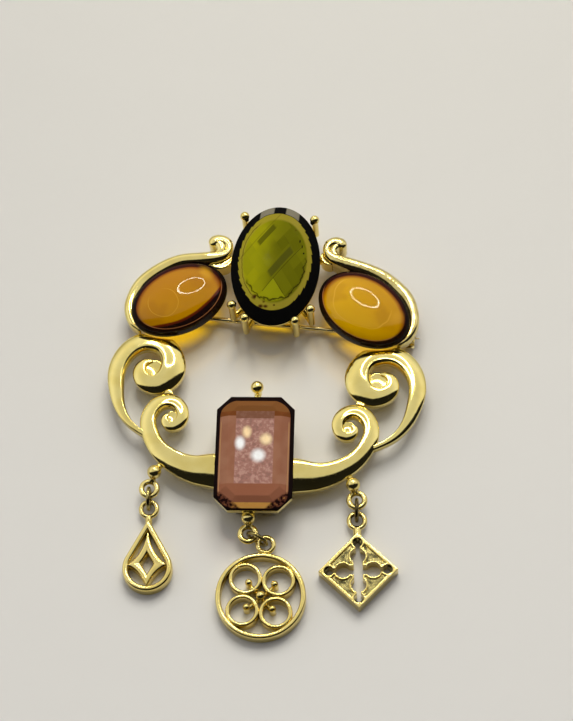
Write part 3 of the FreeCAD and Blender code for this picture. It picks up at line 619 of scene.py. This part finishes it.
def natural_spline(knots, values, at):
    """Natural cubic spline through values at knots, read at the given parameters."""
    count = len(knots)
    gaps = np.diff(knots)
    system = np.eye(count)
    right = np.zeros_like(values)
    for i in range(1, count - 1):
        system[i, i - 1] = gaps[i - 1]
        system[i, i] = 2 * (gaps[i - 1] + gaps[i])
        system[i, i + 1] = gaps[i]
        slope_after = (values[i + 1] - values[i]) / gaps[i]
        slope_before = (values[i] - values[i - 1]) / gaps[i - 1]
        right[i] = 6 * (slope_after - slope_before)
    bend = np.linalg.solve(system, right)
    i = np.clip(np.searchsorted(knots, at) - 1, 0, count - 2)
    left = (at - knots[i])[:, None]
    rest = (knots[i + 1] - at)[:, None]
    gap = gaps[i][:, None]
    return ((bend[i] * rest ** 3 + bend[i + 1] * left ** 3) / (6 * gap)
            + (values[i] / gap - bend[i] * gap / 6) * rest
            + (values[i + 1] / gap - bend[i + 1] * gap / 6) * left)


def curve_point(first, control, last, t):
    """Point of a quadratic curve."""
    return tuple(a * (1 - t) ** 2 + m * (2 * t * (1 - t)) + c * (t * t)
                 for a, m, c in zip(first, control, last))


def rounded_corner(before, corner, after, count=4):
    """Points of a small curve that replaces a corner."""
    return [curve_point(before, corner, after, t) for t in np.linspace(0, 1, count)]


def dome_half_profile(width, half, edge_z):
    """Points (distance, height) from the middle of the back, out and up to the crest."""
    angle = math.radians(DOME_EDGE_ANGLE)
    rise = half * (1 - math.cos(angle)) / math.sin(angle)
    fillet = min(EDGE_FILLET, width * 0.3)
    points = [(0.0, BACK_Z)]
    points += rounded_corner((width - fillet, BACK_Z), (width, BACK_Z), (width, BACK_Z + fillet))
    points += rounded_corner((width, edge_z - fillet), (width, edge_z),
                             (width - fillet * 0.55, edge_z + fillet * 0.5))
    start = 1 - fillet * 0.75 / max(width, 1e-6)
    for share in np.linspace(start, 0.0, 11)[1:]:
        psi = angle * share
        height = edge_z + rise * (math.cos(psi) - math.cos(angle)) / (1 - math.cos(angle))
        points.append((width * math.sin(psi) / math.sin(angle), height))
    return points


def edge_height(share, heights, rise):
    t = min(1.0, max(0.0, (share - rise[0]) / (rise[1] - rise[0])))
    return heights[0] + (heights[1] - heights[0]) * t * t * (3 - 2 * t)


def rounded_end(distance, tip):
    """Share of the full width at a distance from a rounded end."""
    return math.sqrt(max(0.0, 1 - (1 - min(distance / tip, 1.0)) ** 2))


def band_sections(stations, heights, rise, crest, round_start, round_end):
    """Cross-section loops of a domed band along a smooth plan curve.

    crest moves the highest line sideways, as a share of the half width, to the left of travel."""
    table = np.array(stations, float)
    knots = np.concatenate([[0.0], np.cumsum(np.hypot(*np.diff(table[:, :2], axis=0).T))])
    length = knots[-1]
    at = np.linspace(0, length, int(length / BAND_STEP) + 1)
    first_tip = table[0, 2] * 1.2
    last_tip = table[-1, 2] * 1.2
    quarter = np.linspace(0, math.pi / 2, 12)
    if round_end:
        at = np.concatenate([at[at < length - last_tip], length - last_tip * (1 - np.sin(quarter))])
    if round_start:
        at = np.concatenate([first_tip * (1 - np.cos(quarter)), at[at > first_tip]])
    values = natural_spline(knots, table, at)
    fine = natural_spline(knots, table, np.clip(at + 0.01, 0, length))
    coarse = natural_spline(knots, table, np.clip(at - 0.01, 0, length))
    travel = fine[:, :2] - coarse[:, :2]
    travel /= np.linalg.norm(travel, axis=1)[:, None]
    loops = []
    for distance, (x, y, half), (tx, ty) in zip(at, values, travel):
        if round_end:
            half *= rounded_end(length - distance, last_tip)
        if round_start:
            half *= rounded_end(distance, first_tip)
        half = max(half, 0.004)
        edge_z = edge_height(distance / length, heights, rise)
        left = dome_half_profile(half * (1 - crest), half, edge_z)
        right = dome_half_profile(half * (1 + crest), half, edge_z)
        middle = crest * half
        outline = [(middle + a, z) for a, z in left] + [(middle - a, z) for a, z in right[-2:0:-1]]
        loops.append([(x - ty * a, y + tx * a, z) for a, z in outline])
    return loops


def placed(stations, side, fit):
    """A right-hand plan curve fitted to one side."""
    scale, middle, shift = fit
    return [(side * (middle + (x - middle) * scale) + shift, y, half) for x, y, half in stations]


# ======== castings
def cast_band(bm, name, material=GOLD):
    piece("cast_" + name, finished(bm, name), material, "brooch", [name])


def make_scrolls():
    flat = (SCROLL_EDGE_Z, SCROLL_EDGE_Z)
    for side, name in SIDES:
        large_fit, small_fit = (LEFT_LARGE, LEFT_SMALL) if side < 0 else (RIGHT_PLAIN, RIGHT_PLAIN)
        for size, curve, eye, fit in (("large", LARGE_SCROLL, LARGE_EYE, large_fit),
                                      ("small", SMALL_SCROLL, SMALL_EYE, small_fit)):
            line = placed(curve, side, fit)
            loops = band_sections(line, flat, (0.0, 1.0), side * INNER_CREST, False, True)
            if size == "large":
                bm = lofted(keep_off_amber(loops, side))
            else:
                bm = lofted(loops)
                trim_at_octagon(bm, side)
            add_eye(bm, eye, side, fit)
            cast_band(bm, name + "_" + size + "_scroll")


def add_eye(bm, eye, side, fit):
    """Thin gold floor that closes a spiral's eye; it sinks toward its middle."""
    (cx, cy, radius), = placed([(*eye[0], eye[1])], side, fit)
    levels = [(0.9, BACK_Z), (1.0, BACK_Z + 0.1), (1.0, BACK_Z + 0.9), (0.85, BACK_Z + 0.88),
              (0.55, BACK_Z + 0.8), (0.2, BACK_Z + 0.76)]
    loops = []
    for share, z in levels:
        ring = ellipse_loop((radius * share, radius * share), z, 40)
        loops.append([(cx + x, cy + y, z) for x, y, z in ring])
    lofted(loops, bm)


def make_crescents():
    for side, name in SIDES:
        fit = LEFT_CRESCENT if side < 0 else RIGHT_PLAIN
        curl = LEFT_CURL if side < 0 else RIGHT_CURL
        tongue = LEFT_TONGUE if side < 0 else RIGHT_TONGUE
        outline = placed(CRESCENT + curl, side, fit)
        crest = -side * CRESCENT_CREST
        loops = band_sections(outline, CRESCENT_EDGE_Z, CRESCENT_RISE, crest, True, True)
        bm = lofted(keep_off_amber(loops, side))
        top = (CRESCENT_EDGE_Z[1],) * 2
        lofted(band_sections(placed(tongue, side, fit), top, (0.0, 1.0), 0.0, False, False), bm)
        cast_band(bm, name + "_crescent", HAMMERED if side > 0 else GOLD)


def keep_off_amber(loops, side):
    """Move the points of a casting out of an amber setting's plan ellipse."""
    centre_x = side * AMBER_X[side]
    half = grown(AMBER_HALF, 0.02)
    cos = math.cos(math.radians(-side * AMBER_TILT))
    sin = math.sin(math.radians(-side * AMBER_TILT))
    kept = []
    for loop in loops:
        row = []
        for x, y, z in loop:
            dx = x - centre_x
            dy = y - AMBER_Y
            u = dx * cos + dy * sin
            v = dy * cos - dx * sin
            radius = math.hypot(u / half[0], v / half[1])
            if radius < 1.0:
                u /= radius
                v /= radius
            row.append((centre_x + u * cos - v * sin, AMBER_Y + u * sin + v * cos, z))
        kept.append(row)
    return kept


def trim_at_octagon(bm, side):
    """Cut the arm's end flush inside the sloping collet wall."""
    low = (OCT_FOOT[0] / 2, 0.0)
    high = (OCT_SIZE[0] / 2, OCT_BAND_Z)
    slope = Vector((high[0] - low[0], 0, high[1] - low[1])).normalized()
    outward = Vector((slope.z, 0, -slope.x))
    point = Vector((low[0], 0, low[1])) - outward * OCT_TRIM_SINK
    if side < 0:
        outward.x = -outward.x
        point.x = -point.x
    place = turned(*OCT_CENTRE, OCT_TWIST, 1.0)
    bmesh.ops.bisect_plane(bm, geom=bm.verts[:] + bm.edges[:] + bm.faces[:], plane_co=place @ point,
                           plane_no=place.to_3x3() @ outward, clear_inner=True)
    bmesh.ops.holes_fill(bm, edges=[edge for edge in bm.edges if edge.is_boundary])


# ======== stones and settings
def ellipse_loop(half, z, count=96):
    return [(half[0] * math.cos(t), half[1] * math.sin(t), z) for t in turns(count)]


def grown(half, amount):
    return (half[0] + amount, half[1] + amount)


def make_ambers():
    for side, name in SIDES:
        levels = [(grown(AMBER_HALF, -AMBER_INSETS[0]), AMBER_SEAT_Z + SEAT_GAP),
                  (grown(AMBER_HALF, -AMBER_INSETS[1]), AMBER_RIM_Z - SEAT_GAP),
                  (AMBER_HALF, AMBER_RIM_Z + SEAT_GAP), (AMBER_HALF, AMBER_GIRDLE_Z)]
        loops = [ellipse_loop(half, z) for half, z in levels]
        for angle in np.linspace(0, math.pi / 2, 26)[1:-1]:
            half = (AMBER_HALF[0] * math.cos(angle), AMBER_HALF[1] * math.cos(angle))
            z = AMBER_GIRDLE_Z + (AMBER_TOP_Z - AMBER_GIRDLE_Z) * math.sin(angle)
            loops.append(ellipse_loop(half, z))
        node = name + "_amber_stone"
        place = turned(side * AMBER_X[side], AMBER_Y, -side * AMBER_TILT)
        mesh = finished(lofted(loops), node, 50.0)
        piece("amber_cabochon_" + name, mesh, AMBERS[name], "brooch", [node], place)


def octagon_loop(size, z):
    width, height, corner = size
    x = width / 2
    y = height / 2
    return [(x, y - corner, z), (x - corner, y, z), (corner - x, y, z), (-x, y - corner, z),
            (-x, corner - y, z), (corner - x, -y, z), (x - corner, -y, z), (x, corner - y, z)]


def octagon_inset(size, amount):
    width, height, corner = size
    return (width - 2 * amount, height - 2 * amount, corner - OCT_CORNER_LOSS * amount)


def make_rose():
    seat = octagon_inset(OCT_SIZE, OCT_WALL)
    girdle = octagon_inset(OCT_SIZE, OCT_GIRDLE_INSET)
    middle = tuple((a + b) / 2 for a, b in zip(girdle, OCT_TABLE))
    bm = lofted([octagon_loop(OCT_CULET, OCT_CULET_Z), octagon_loop(seat, OCT_BAND_Z + 0.32),
                 octagon_loop(seat, OCT_RIM_Z), octagon_loop(girdle, OCT_RIM_Z + 0.05),
                 octagon_loop(girdle, OCT_GIRDLE_Z), octagon_loop(middle, OCT_TOP_Z - OCT_STEP_DROP),
                 octagon_loop(OCT_TABLE, OCT_TOP_Z)])
    bmesh.ops.bevel(bm, geom=bm.edges[:], offset=OCT_BEVEL, segments=1, affect="EDGES",
                    clamp_overlap=True)
    mesh = finished(bm, "octagon_stone", 5.0)
    place = turned(*OCT_CENTRE, OCT_TWIST)
    piece("rose_step_cut", mesh, ROSE, "brooch", ["octagon_stone"], place)


def make_olive():
    """Girdle and pavilion in rings, a ring of crown facets and a checkerboard dome."""
    pavilion = grown(OVAL_HALF, -OVAL_WALL)
    levels = [(OVAL_CULET_HALF, OVAL_SEAT_Z + 0.1), (pavilion, OVAL_RIM_Z),
              (OVAL_HALF, OVAL_RIM_Z + 0.1), (OVAL_HALF, OVAL_GIRDLE_Z)]
    bm = lofted([ellipse_loop(half, z, OVAL_SIDES) for half, z in levels], closed_ends=False)
    rings = list(bm.verts)
    bm.faces.new(rings[:OVAL_SIDES][::-1])
    window_loop = ellipse_loop(OVAL_WINDOW_HALF, OVAL_WINDOW_Z, OVAL_SIDES // CROWN_STEPS)
    window = [bm.verts.new(point) for point in window_loop]
    girdle = rings[-OVAL_SIDES:] * 2
    for k, inner in enumerate(window):
        first = (k * CROWN_STEPS - CROWN_STEPS // 2) % OVAL_SIDES
        for i in range(first, first + CROWN_STEPS):
            bm.faces.new((inner, girdle[i], girdle[i + 1]))
        bm.faces.new((inner, girdle[first + CROWN_STEPS], window[(k + 1) % len(window)]))
    cells = [bm.faces.new(window)]
    for lean in (-1, 1):
        for offset in [FACET_STEP * step for step in range(-3, 4)]:
            normal = Vector((1 / OVAL_WINDOW_HALF[0], lean / OVAL_WINDOW_HALF[1], 0))
            point = normal * (offset / normal.length_squared)
            edges = set(edge for face in cells for edge in face.edges)
            corners = set(vert for face in cells for vert in face.verts)
            bmesh.ops.bisect_plane(bm, geom=list(corners) + list(edges) + cells,
                                   plane_co=point + UP * OVAL_WINDOW_Z, plane_no=normal.normalized())
            cells = [face for face in bm.faces
                     if all(abs(vert.co.z - OVAL_WINDOW_Z) < 1e-4 for vert in face.verts)]
    for vert in set(vert for face in cells for vert in face.verts):
        r2 = (vert.co.x / OVAL_WINDOW_HALF[0]) ** 2 + (vert.co.y / OVAL_WINDOW_HALF[1]) ** 2
        vert.co.z = OVAL_WINDOW_Z + (OVAL_TOP_Z - OVAL_WINDOW_Z) * max(0.0, 1 - r2)
    mesh = finished(bm, "oval_stone", 3.0)
    place = turned(0, OVAL_Y, 0)
    piece("olive_checkerboard", mesh, OLIVE, "brooch", ["oval_stone"], place)


# ======== small castings and rings
def softened(node, voxel, passes):
    """A CAD node's own form with its edges worn round, as polished castings have. Millimetres."""
    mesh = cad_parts[node].data.copy()
    mesh.transform(Matrix.Scale(1 / MM, 4))
    bm = bmesh.new()
    bm.from_mesh(mesh)
    bmesh.ops.remove_doubles(bm, verts=bm.verts, dist=1e-4)
    bm.to_mesh(mesh)
    bm.free()
    source = bpy.data.objects.new("source", mesh)
    link(source)
    remesh = source.modifiers.new("remesh", "REMESH")
    remesh.mode = "VOXEL"
    remesh.voxel_size = voxel
    smooth = source.modifiers.new("smooth", "SMOOTH")
    smooth.factor = 0.5
    smooth.iterations = passes
    depsgraph = bpy.context.evaluated_depsgraph_get()
    result = bpy.data.meshes.new_from_object(source.evaluated_get(depsgraph))
    bpy.data.objects.remove(source)
    result.polygons.foreach_set("use_smooth", [True] * len(result.polygons))
    return result


def make_soft_castings():
    for material, body, voxel, passes, nodes in SOFT_CASTINGS:
        for node in nodes:
            piece("soft_" + node, softened(node, voxel, passes), material, body, [node])


def make_jump_rings():
    """Wire rings with a hairline slit where the wire was bent shut."""
    for name, (eyelet, heading) in JUMP_RINGS.items():
        out = Vector((math.cos(math.radians(heading)), math.sin(math.radians(heading)), 0))
        across = out.cross(UP)
        centre = Vector((*eyelet, EYELET_Z)) + out * JUMP_RING[0]
        loops = []
        for turn in np.linspace(JUMP_SLIT, 2 * math.pi - JUMP_SLIT, 72):
            radial = out * math.sin(turn + JUMP_START) + UP * math.cos(turn + JUMP_START)
            loops.append(wire_loop(centre + radial * JUMP_RING[0], radial, across, JUMP_RING[1], 20))
        node = name + "_jump_ring"
        mesh = finished(lofted(loops), node, 60.0)
        # the rings' gold carries painted dark reflections
        piece("wire_" + node, mesh, PAINTED_DARK_GOLD, name + "_link", [node])


# ======== charms
def ridge(bm, outer, inner, height, crown):
    """Upright wall between two closed plan curves of equal length; crown rounds its top."""
    profile = [(0.0, 0.0), (0.0, height - crown), (0.06, height - crown * 0.55),
               (0.2, height - crown * 0.16), (0.5, height), (0.8, height - crown * 0.16),
               (0.94, height - crown * 0.55), (1.0, height - crown), (1.0, 0.0)]
    loops = [[(*part_way(first, last, share), z) for first, last in zip(outer, inner)]
             for share, z in profile]
    lofted(loops + loops[:1], bm, False)


def around(radius, centre=(0.0, 0.0), count=72):
    """Closed plan curve; radius is a number or a function of the angle."""
    curve = []
    for t in turns(count):
        r = radius(t) if callable(radius) else radius
        curve.append((centre[0] + r * math.cos(t), centre[1] + r * math.sin(t)))
    return curve


def stud(bm, centre, radius):
    """Round post with a domed top."""
    shoulder = CHARM_THICK - 0.3
    levels = [(1.0, 0.0), (1.0, shoulder)]
    levels += [(math.cos(a), shoulder + radius * math.sin(a)) for a in np.linspace(0, 1.5, 8)[1:]]
    loops = [[(x, y, z) for x, y in around(radius * share, centre, 24)] for share, z in levels]
    lofted(loops, bm)


def web(bm, start, end, z, radius):
    """Round rod lying between two plan points."""
    along = Vector((end[0] - start[0], end[1] - start[1], 0)).normalized()
    across = along.cross(UP)
    lofted([wire_loop(Vector((*point, z)), across, UP, radius, 16) for point in (start, end)], bm)


def charm_loop(bm):
    radius, wire = CHARM_LOOP
    section = [(radius + wire * math.cos(a), wire * math.sin(a)) for a in turns(16)]
    loops = [[(x * r, y * r, CHARM_LOOP_Z + z) for r, z in section] for x, y in around(1.0, count=48)]
    lofted(loops + loops[:1], bm, False)


def charm_piece(bm, name, hanger, body, material):
    (x, y), degrees = JUMP_RINGS[hanger]
    heading = math.radians(degrees)
    x += CHARM_SPACING * math.cos(heading)
    y += CHARM_SPACING * math.sin(heading)
    place = turned(x, y, CHARM_TURN[hanger])
    piece(name, finished(bm, name, 38.0), material, body, [body + "_charm"], place)


def make_round_charm():
    bm = bmesh.new()
    middle = (0.0, -ROUND_DROP)
    charm_loop(bm)
    ridge(bm, around(ROUND_RIM[0], middle, 144), around(ROUND_RIM[1], middle, 144), CHARM_THICK,
          crown=0.32)
    for quarter in range(4):
        t = math.radians(45 + 90 * quarter)
        centre, post = [(middle[0] + reach * math.cos(t), middle[1] + reach * math.sin(t))
                        for reach in (ROUND_REACH, ROUND_STUD_REACH)]
        ridge(bm, around(ROUND_RING[0], centre), around(ROUND_RING[1], centre), CHARM_THICK - 0.02,
              crown=0.3)
        stud(bm, post, ROUND_STUD)
        web(bm, post, middle, *ROUND_WEB)
    stud(bm, middle, ROUND_BOSS)
    charm_piece(bm, "charm_round", "centre", "round", SATIN)


def drop_curve(radius, reach, arc=72, side=24):
    """Round-bottomed drop with its point at +Y reach, moved to its place below the loop."""
    half = math.acos(radius / reach)
    start = math.pi / 2 + half
    sweep = 2 * (math.pi - half)
    curve = []
    for i in range(arc):
        t = start + sweep * i / arc
        curve.append((radius * math.cos(t), radius * math.sin(t)))
    right = (radius * math.sin(half), radius * math.cos(half))
    for first, last in ((right, (0.0, reach)), ((0.0, reach), (-right[0], right[1]))):
        for i in range(side):
            curve.append(part_way(first, last, i / side))
    return [(x, y - DROP_FALL) for x, y in curve]


def bowed(points, bows, steps=12):
    """Closed curve through corner points, each side passing through its own bow point."""
    curve = []
    for i, (first, bow) in enumerate(zip(points, bows)):
        last = points[(i + 1) % len(points)]
        control = [2 * b - (a + c) / 2 for a, b, c in zip(first, bow, last)]
        curve += [curve_point(first, control, last, k / steps) for k in range(steps)]
    return [(x, y - DROP_FALL) for x, y in curve]


def make_teardrop_charm():
    bm = bmesh.new()
    radius, reach = DROP_SIZE
    charm_loop(bm)
    fall, height, thick = DROP_NECK
    web(bm, (0.0, -CHARM_LOOP[0]), (0.0, -fall), height, thick)
    ridge(bm, drop_curve(radius, reach), drop_curve(radius - DROP_RIM, reach * (1 - DROP_RIM / radius)),
          CHARM_THICK, crown=0.4)
    middles = [part_way(point, following, 0.5)
               for point, following in zip(DROP_WINDOW, DROP_WINDOW[1:] + DROP_WINDOW[:1])]
    ridge(bm, bowed(DROP_STAR, DROP_STAR_BOWS), bowed(DROP_WINDOW, middles), CHARM_THICK - 0.04,
          crown=0.3)
    charm_piece(bm, "charm_teardrop", "left", "teardrop", SATIN)


def square_radius(half):
    return lambda t: half / (abs(math.cos(t)) + abs(math.sin(t)))


def cross_radius(grow):
    """Outline of the diamond's cut-out: two round lobes on each arm, joined by slots."""
    def radius(t):
        lean = abs((t + math.pi / 4) % (math.pi / 2) - math.pi / 4)
        reaches = []
        for offset, lobe, half in DIAMOND_LOBES:
            inside = (lobe + grow) ** 2 - (offset * math.sin(lean)) ** 2
            if inside > 0:
                reaches.append(offset * math.cos(lean) + math.sqrt(inside))
            slot = (half + grow) / max(math.sin(lean), 1e-6)
            if slot * math.cos(lean) < offset:
                reaches.append(slot)
        return max(reaches)
    return radius


def make_diamond_field():
    """Mottled sheet in the diamond's recessed field, round the raised lip of its cut-out."""
    square = square_radius(DIAMOND_HALF * (DIAMOND_FIELD - 0.02))
    cross = cross_radius(DIAMOND_LIP + 0.08)
    middle = (0.0, -DIAMOND_FALL)
    bm = bmesh.new()
    hole = around(lambda t: min(cross(t), square(t) - 0.03), middle, 288)
    height = CHARM_THICK - DIAMOND_RECESS + DIAMOND_SHEET
    ridge(bm, around(square, middle, 288), hole, height, crown=0.0)
    charm_piece(bm, "charm_diamond_field", "right", "diamond", MOTTLED)


# ======== set
def make_floor():
    material, tree, shader = new_material("table")
    fields, vector = place_fields(tree)
    drift = noise_field(tree, vector, 0.012, 1.0) * 30.0
    # painted shade: the floor is darker toward +Y
    far = (fields[1] + drift).step(-70.0, 120.0)
    colour = colour_mix(tree, far, (0.70, 0.69, 0.68), (0.59, 0.58, 0.57))
    tree.links.new(colour, shader.inputs["Base Color"])
    set_inputs(shader, {"Roughness": 0.55})
    mesh = bpy.data.meshes.new("table")
    corners = [(x * FLOOR_REACH, y * FLOOR_REACH, 0) for x, y in ((-1, -1), (1, -1), (1, 1), (-1, 1))]
    mesh.from_pydata(corners, [], [(0, 1, 2, 3)])
    mesh.materials.append(material)
    table = bpy.data.objects.new("table", mesh)
    link(table)


def make_world():
    """Pale room: bright overhead, dimmer low down and dark toward -Y."""
    world = bpy.data.worlds.new("room")
    bpy.context.scene.world = world
    world.use_nodes = True
    tree = world.node_tree
    coordinates = tree.nodes.new("ShaderNodeTexCoord")
    parts = tree.nodes.new("ShaderNodeSeparateXYZ")
    tree.links.new(coordinates.outputs["Generated"], parts.inputs[0])
    x, y, z = [Field(tree, parts.outputs[i]) for i in range(3)]
    height = z.step(-0.05, 0.55) * 0.6 + 0.4 - z.step(0.6, 0.95) * 0.3
    leaning = x.most(0.0) * DARK_LEAN - y
    dark = leaning.step(DARK_START - 0.02, DARK_START + 0.02)
    light = height * (dark * 0.985).flipped() * ROOM_LIGHT
    background = tree.nodes["Background"]
    set_inputs(background, {"Color": (1.0, 0.985, 0.96, 1.0)})
    tree.links.new(light.socket, background.inputs["Strength"])


def make_key_light():
    """Broad light from behind the brooch; it makes the soft shadows and shows in no reflection."""
    data = bpy.data.lights.new("key", "SUN")
    data.energy = KEY_LIGHT
    data.angle = math.radians(KEY_WIDTH)
    data.color = (1.0, 0.975, 0.94)
    key = bpy.data.objects.new("key", data)
    key.matrix_world = UP.rotation_difference(Vector(KEY_HEADING)).to_matrix().to_4x4()
    key.visible_glossy = False
    key.visible_transmission = False
    link(key)


def make_ring_light():
    """Ring lamp above the table; it shows only in reflections."""
    material, tree, shader = new_material("ring_lamp")
    tree.nodes.remove(shader)
    glow = tree.nodes.new("ShaderNodeEmission")
    set_inputs(glow, {"Color": (1.0, 0.96, 0.78, 1.0), "Strength": LAMP_STRENGTH})
    tree.links.new(glow.outputs[0], tree.nodes["Material Output"].inputs["Surface"])
    loops = []
    for t in turns(64):
        out = Vector((math.cos(t), math.sin(t), 0))
        loops.append([out * (LAMP_RADIUS + LAMP_TUBE * math.cos(a)) + UP * LAMP_TUBE * math.sin(a)
                      for a in turns(8)])
    mesh = finished(lofted(loops + loops[:1], closed_ends=False), "ring_lamp")
    mesh.transform(Matrix.Scale(MM, 4))
    mesh.materials.append(material)
    lamp = bpy.data.objects.new("ring_lamp", mesh)
    centre = Vector(LAMP_CENTRE)
    toward = UP.rotation_difference(centre - Vector((0, AMBER_Y, 0))).to_matrix().to_4x4()
    lamp.matrix_world = Matrix.Translation(centre * MM) @ toward
    lamp.visible_camera = False
    link(lamp)


def make_camera():
    azimuth = math.radians(VIEW_AZIMUTH)
    elevation = math.radians(VIEW_ELEVATION)
    roll = math.radians(VIEW_ROLL)
    back = Vector((math.sin(azimuth) * math.cos(elevation), -math.cos(azimuth) * math.cos(elevation),
                   math.sin(elevation)))
    right = (-back).cross(UP).normalized()
    up = right.cross(-back)
    rolled_right = right * math.cos(roll) + up * math.sin(roll)
    rolled_up = up * math.cos(roll) - right * math.sin(roll)
    data = bpy.data.cameras.new("camera")
    data.lens = VIEW_LENS
    data.sensor_fit = "AUTO"
    data.sensor_width = 36.0
    data.clip_start = 0.01
    data.clip_end = 20.0
    camera = bpy.data.objects.new("camera", data)
    axes = Matrix((rolled_right, rolled_up, back)).transposed().to_4x4()
    camera.matrix_world = Matrix.Translation((Vector(VIEW_TARGET) + back * VIEW_DISTANCE) * MM) @ axes
    link(camera)
    bpy.context.scene.camera = camera


def finish_cad_nodes():
    """Materials of the CAD nodes that stay visible."""
    steel = ("pin_stem", "catch_roller", "pin_hinge_rivet")
    for name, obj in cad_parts.items():
        obj.data.materials.clear()
        obj.data.materials.append(STEEL if name in steel else GOLD)


make_camera()
make_world()
make_floor()
make_key_light()
make_ring_light()
finish_cad_nodes()
make_scrolls()
make_crescents()
make_soft_castings()
make_jump_rings()
make_round_charm()
make_teardrop_charm()
make_diamond_field()
make_ambers()
make_rose()
make_olive()

bpy.context.scene.view_settings.view_transform = "Standard"
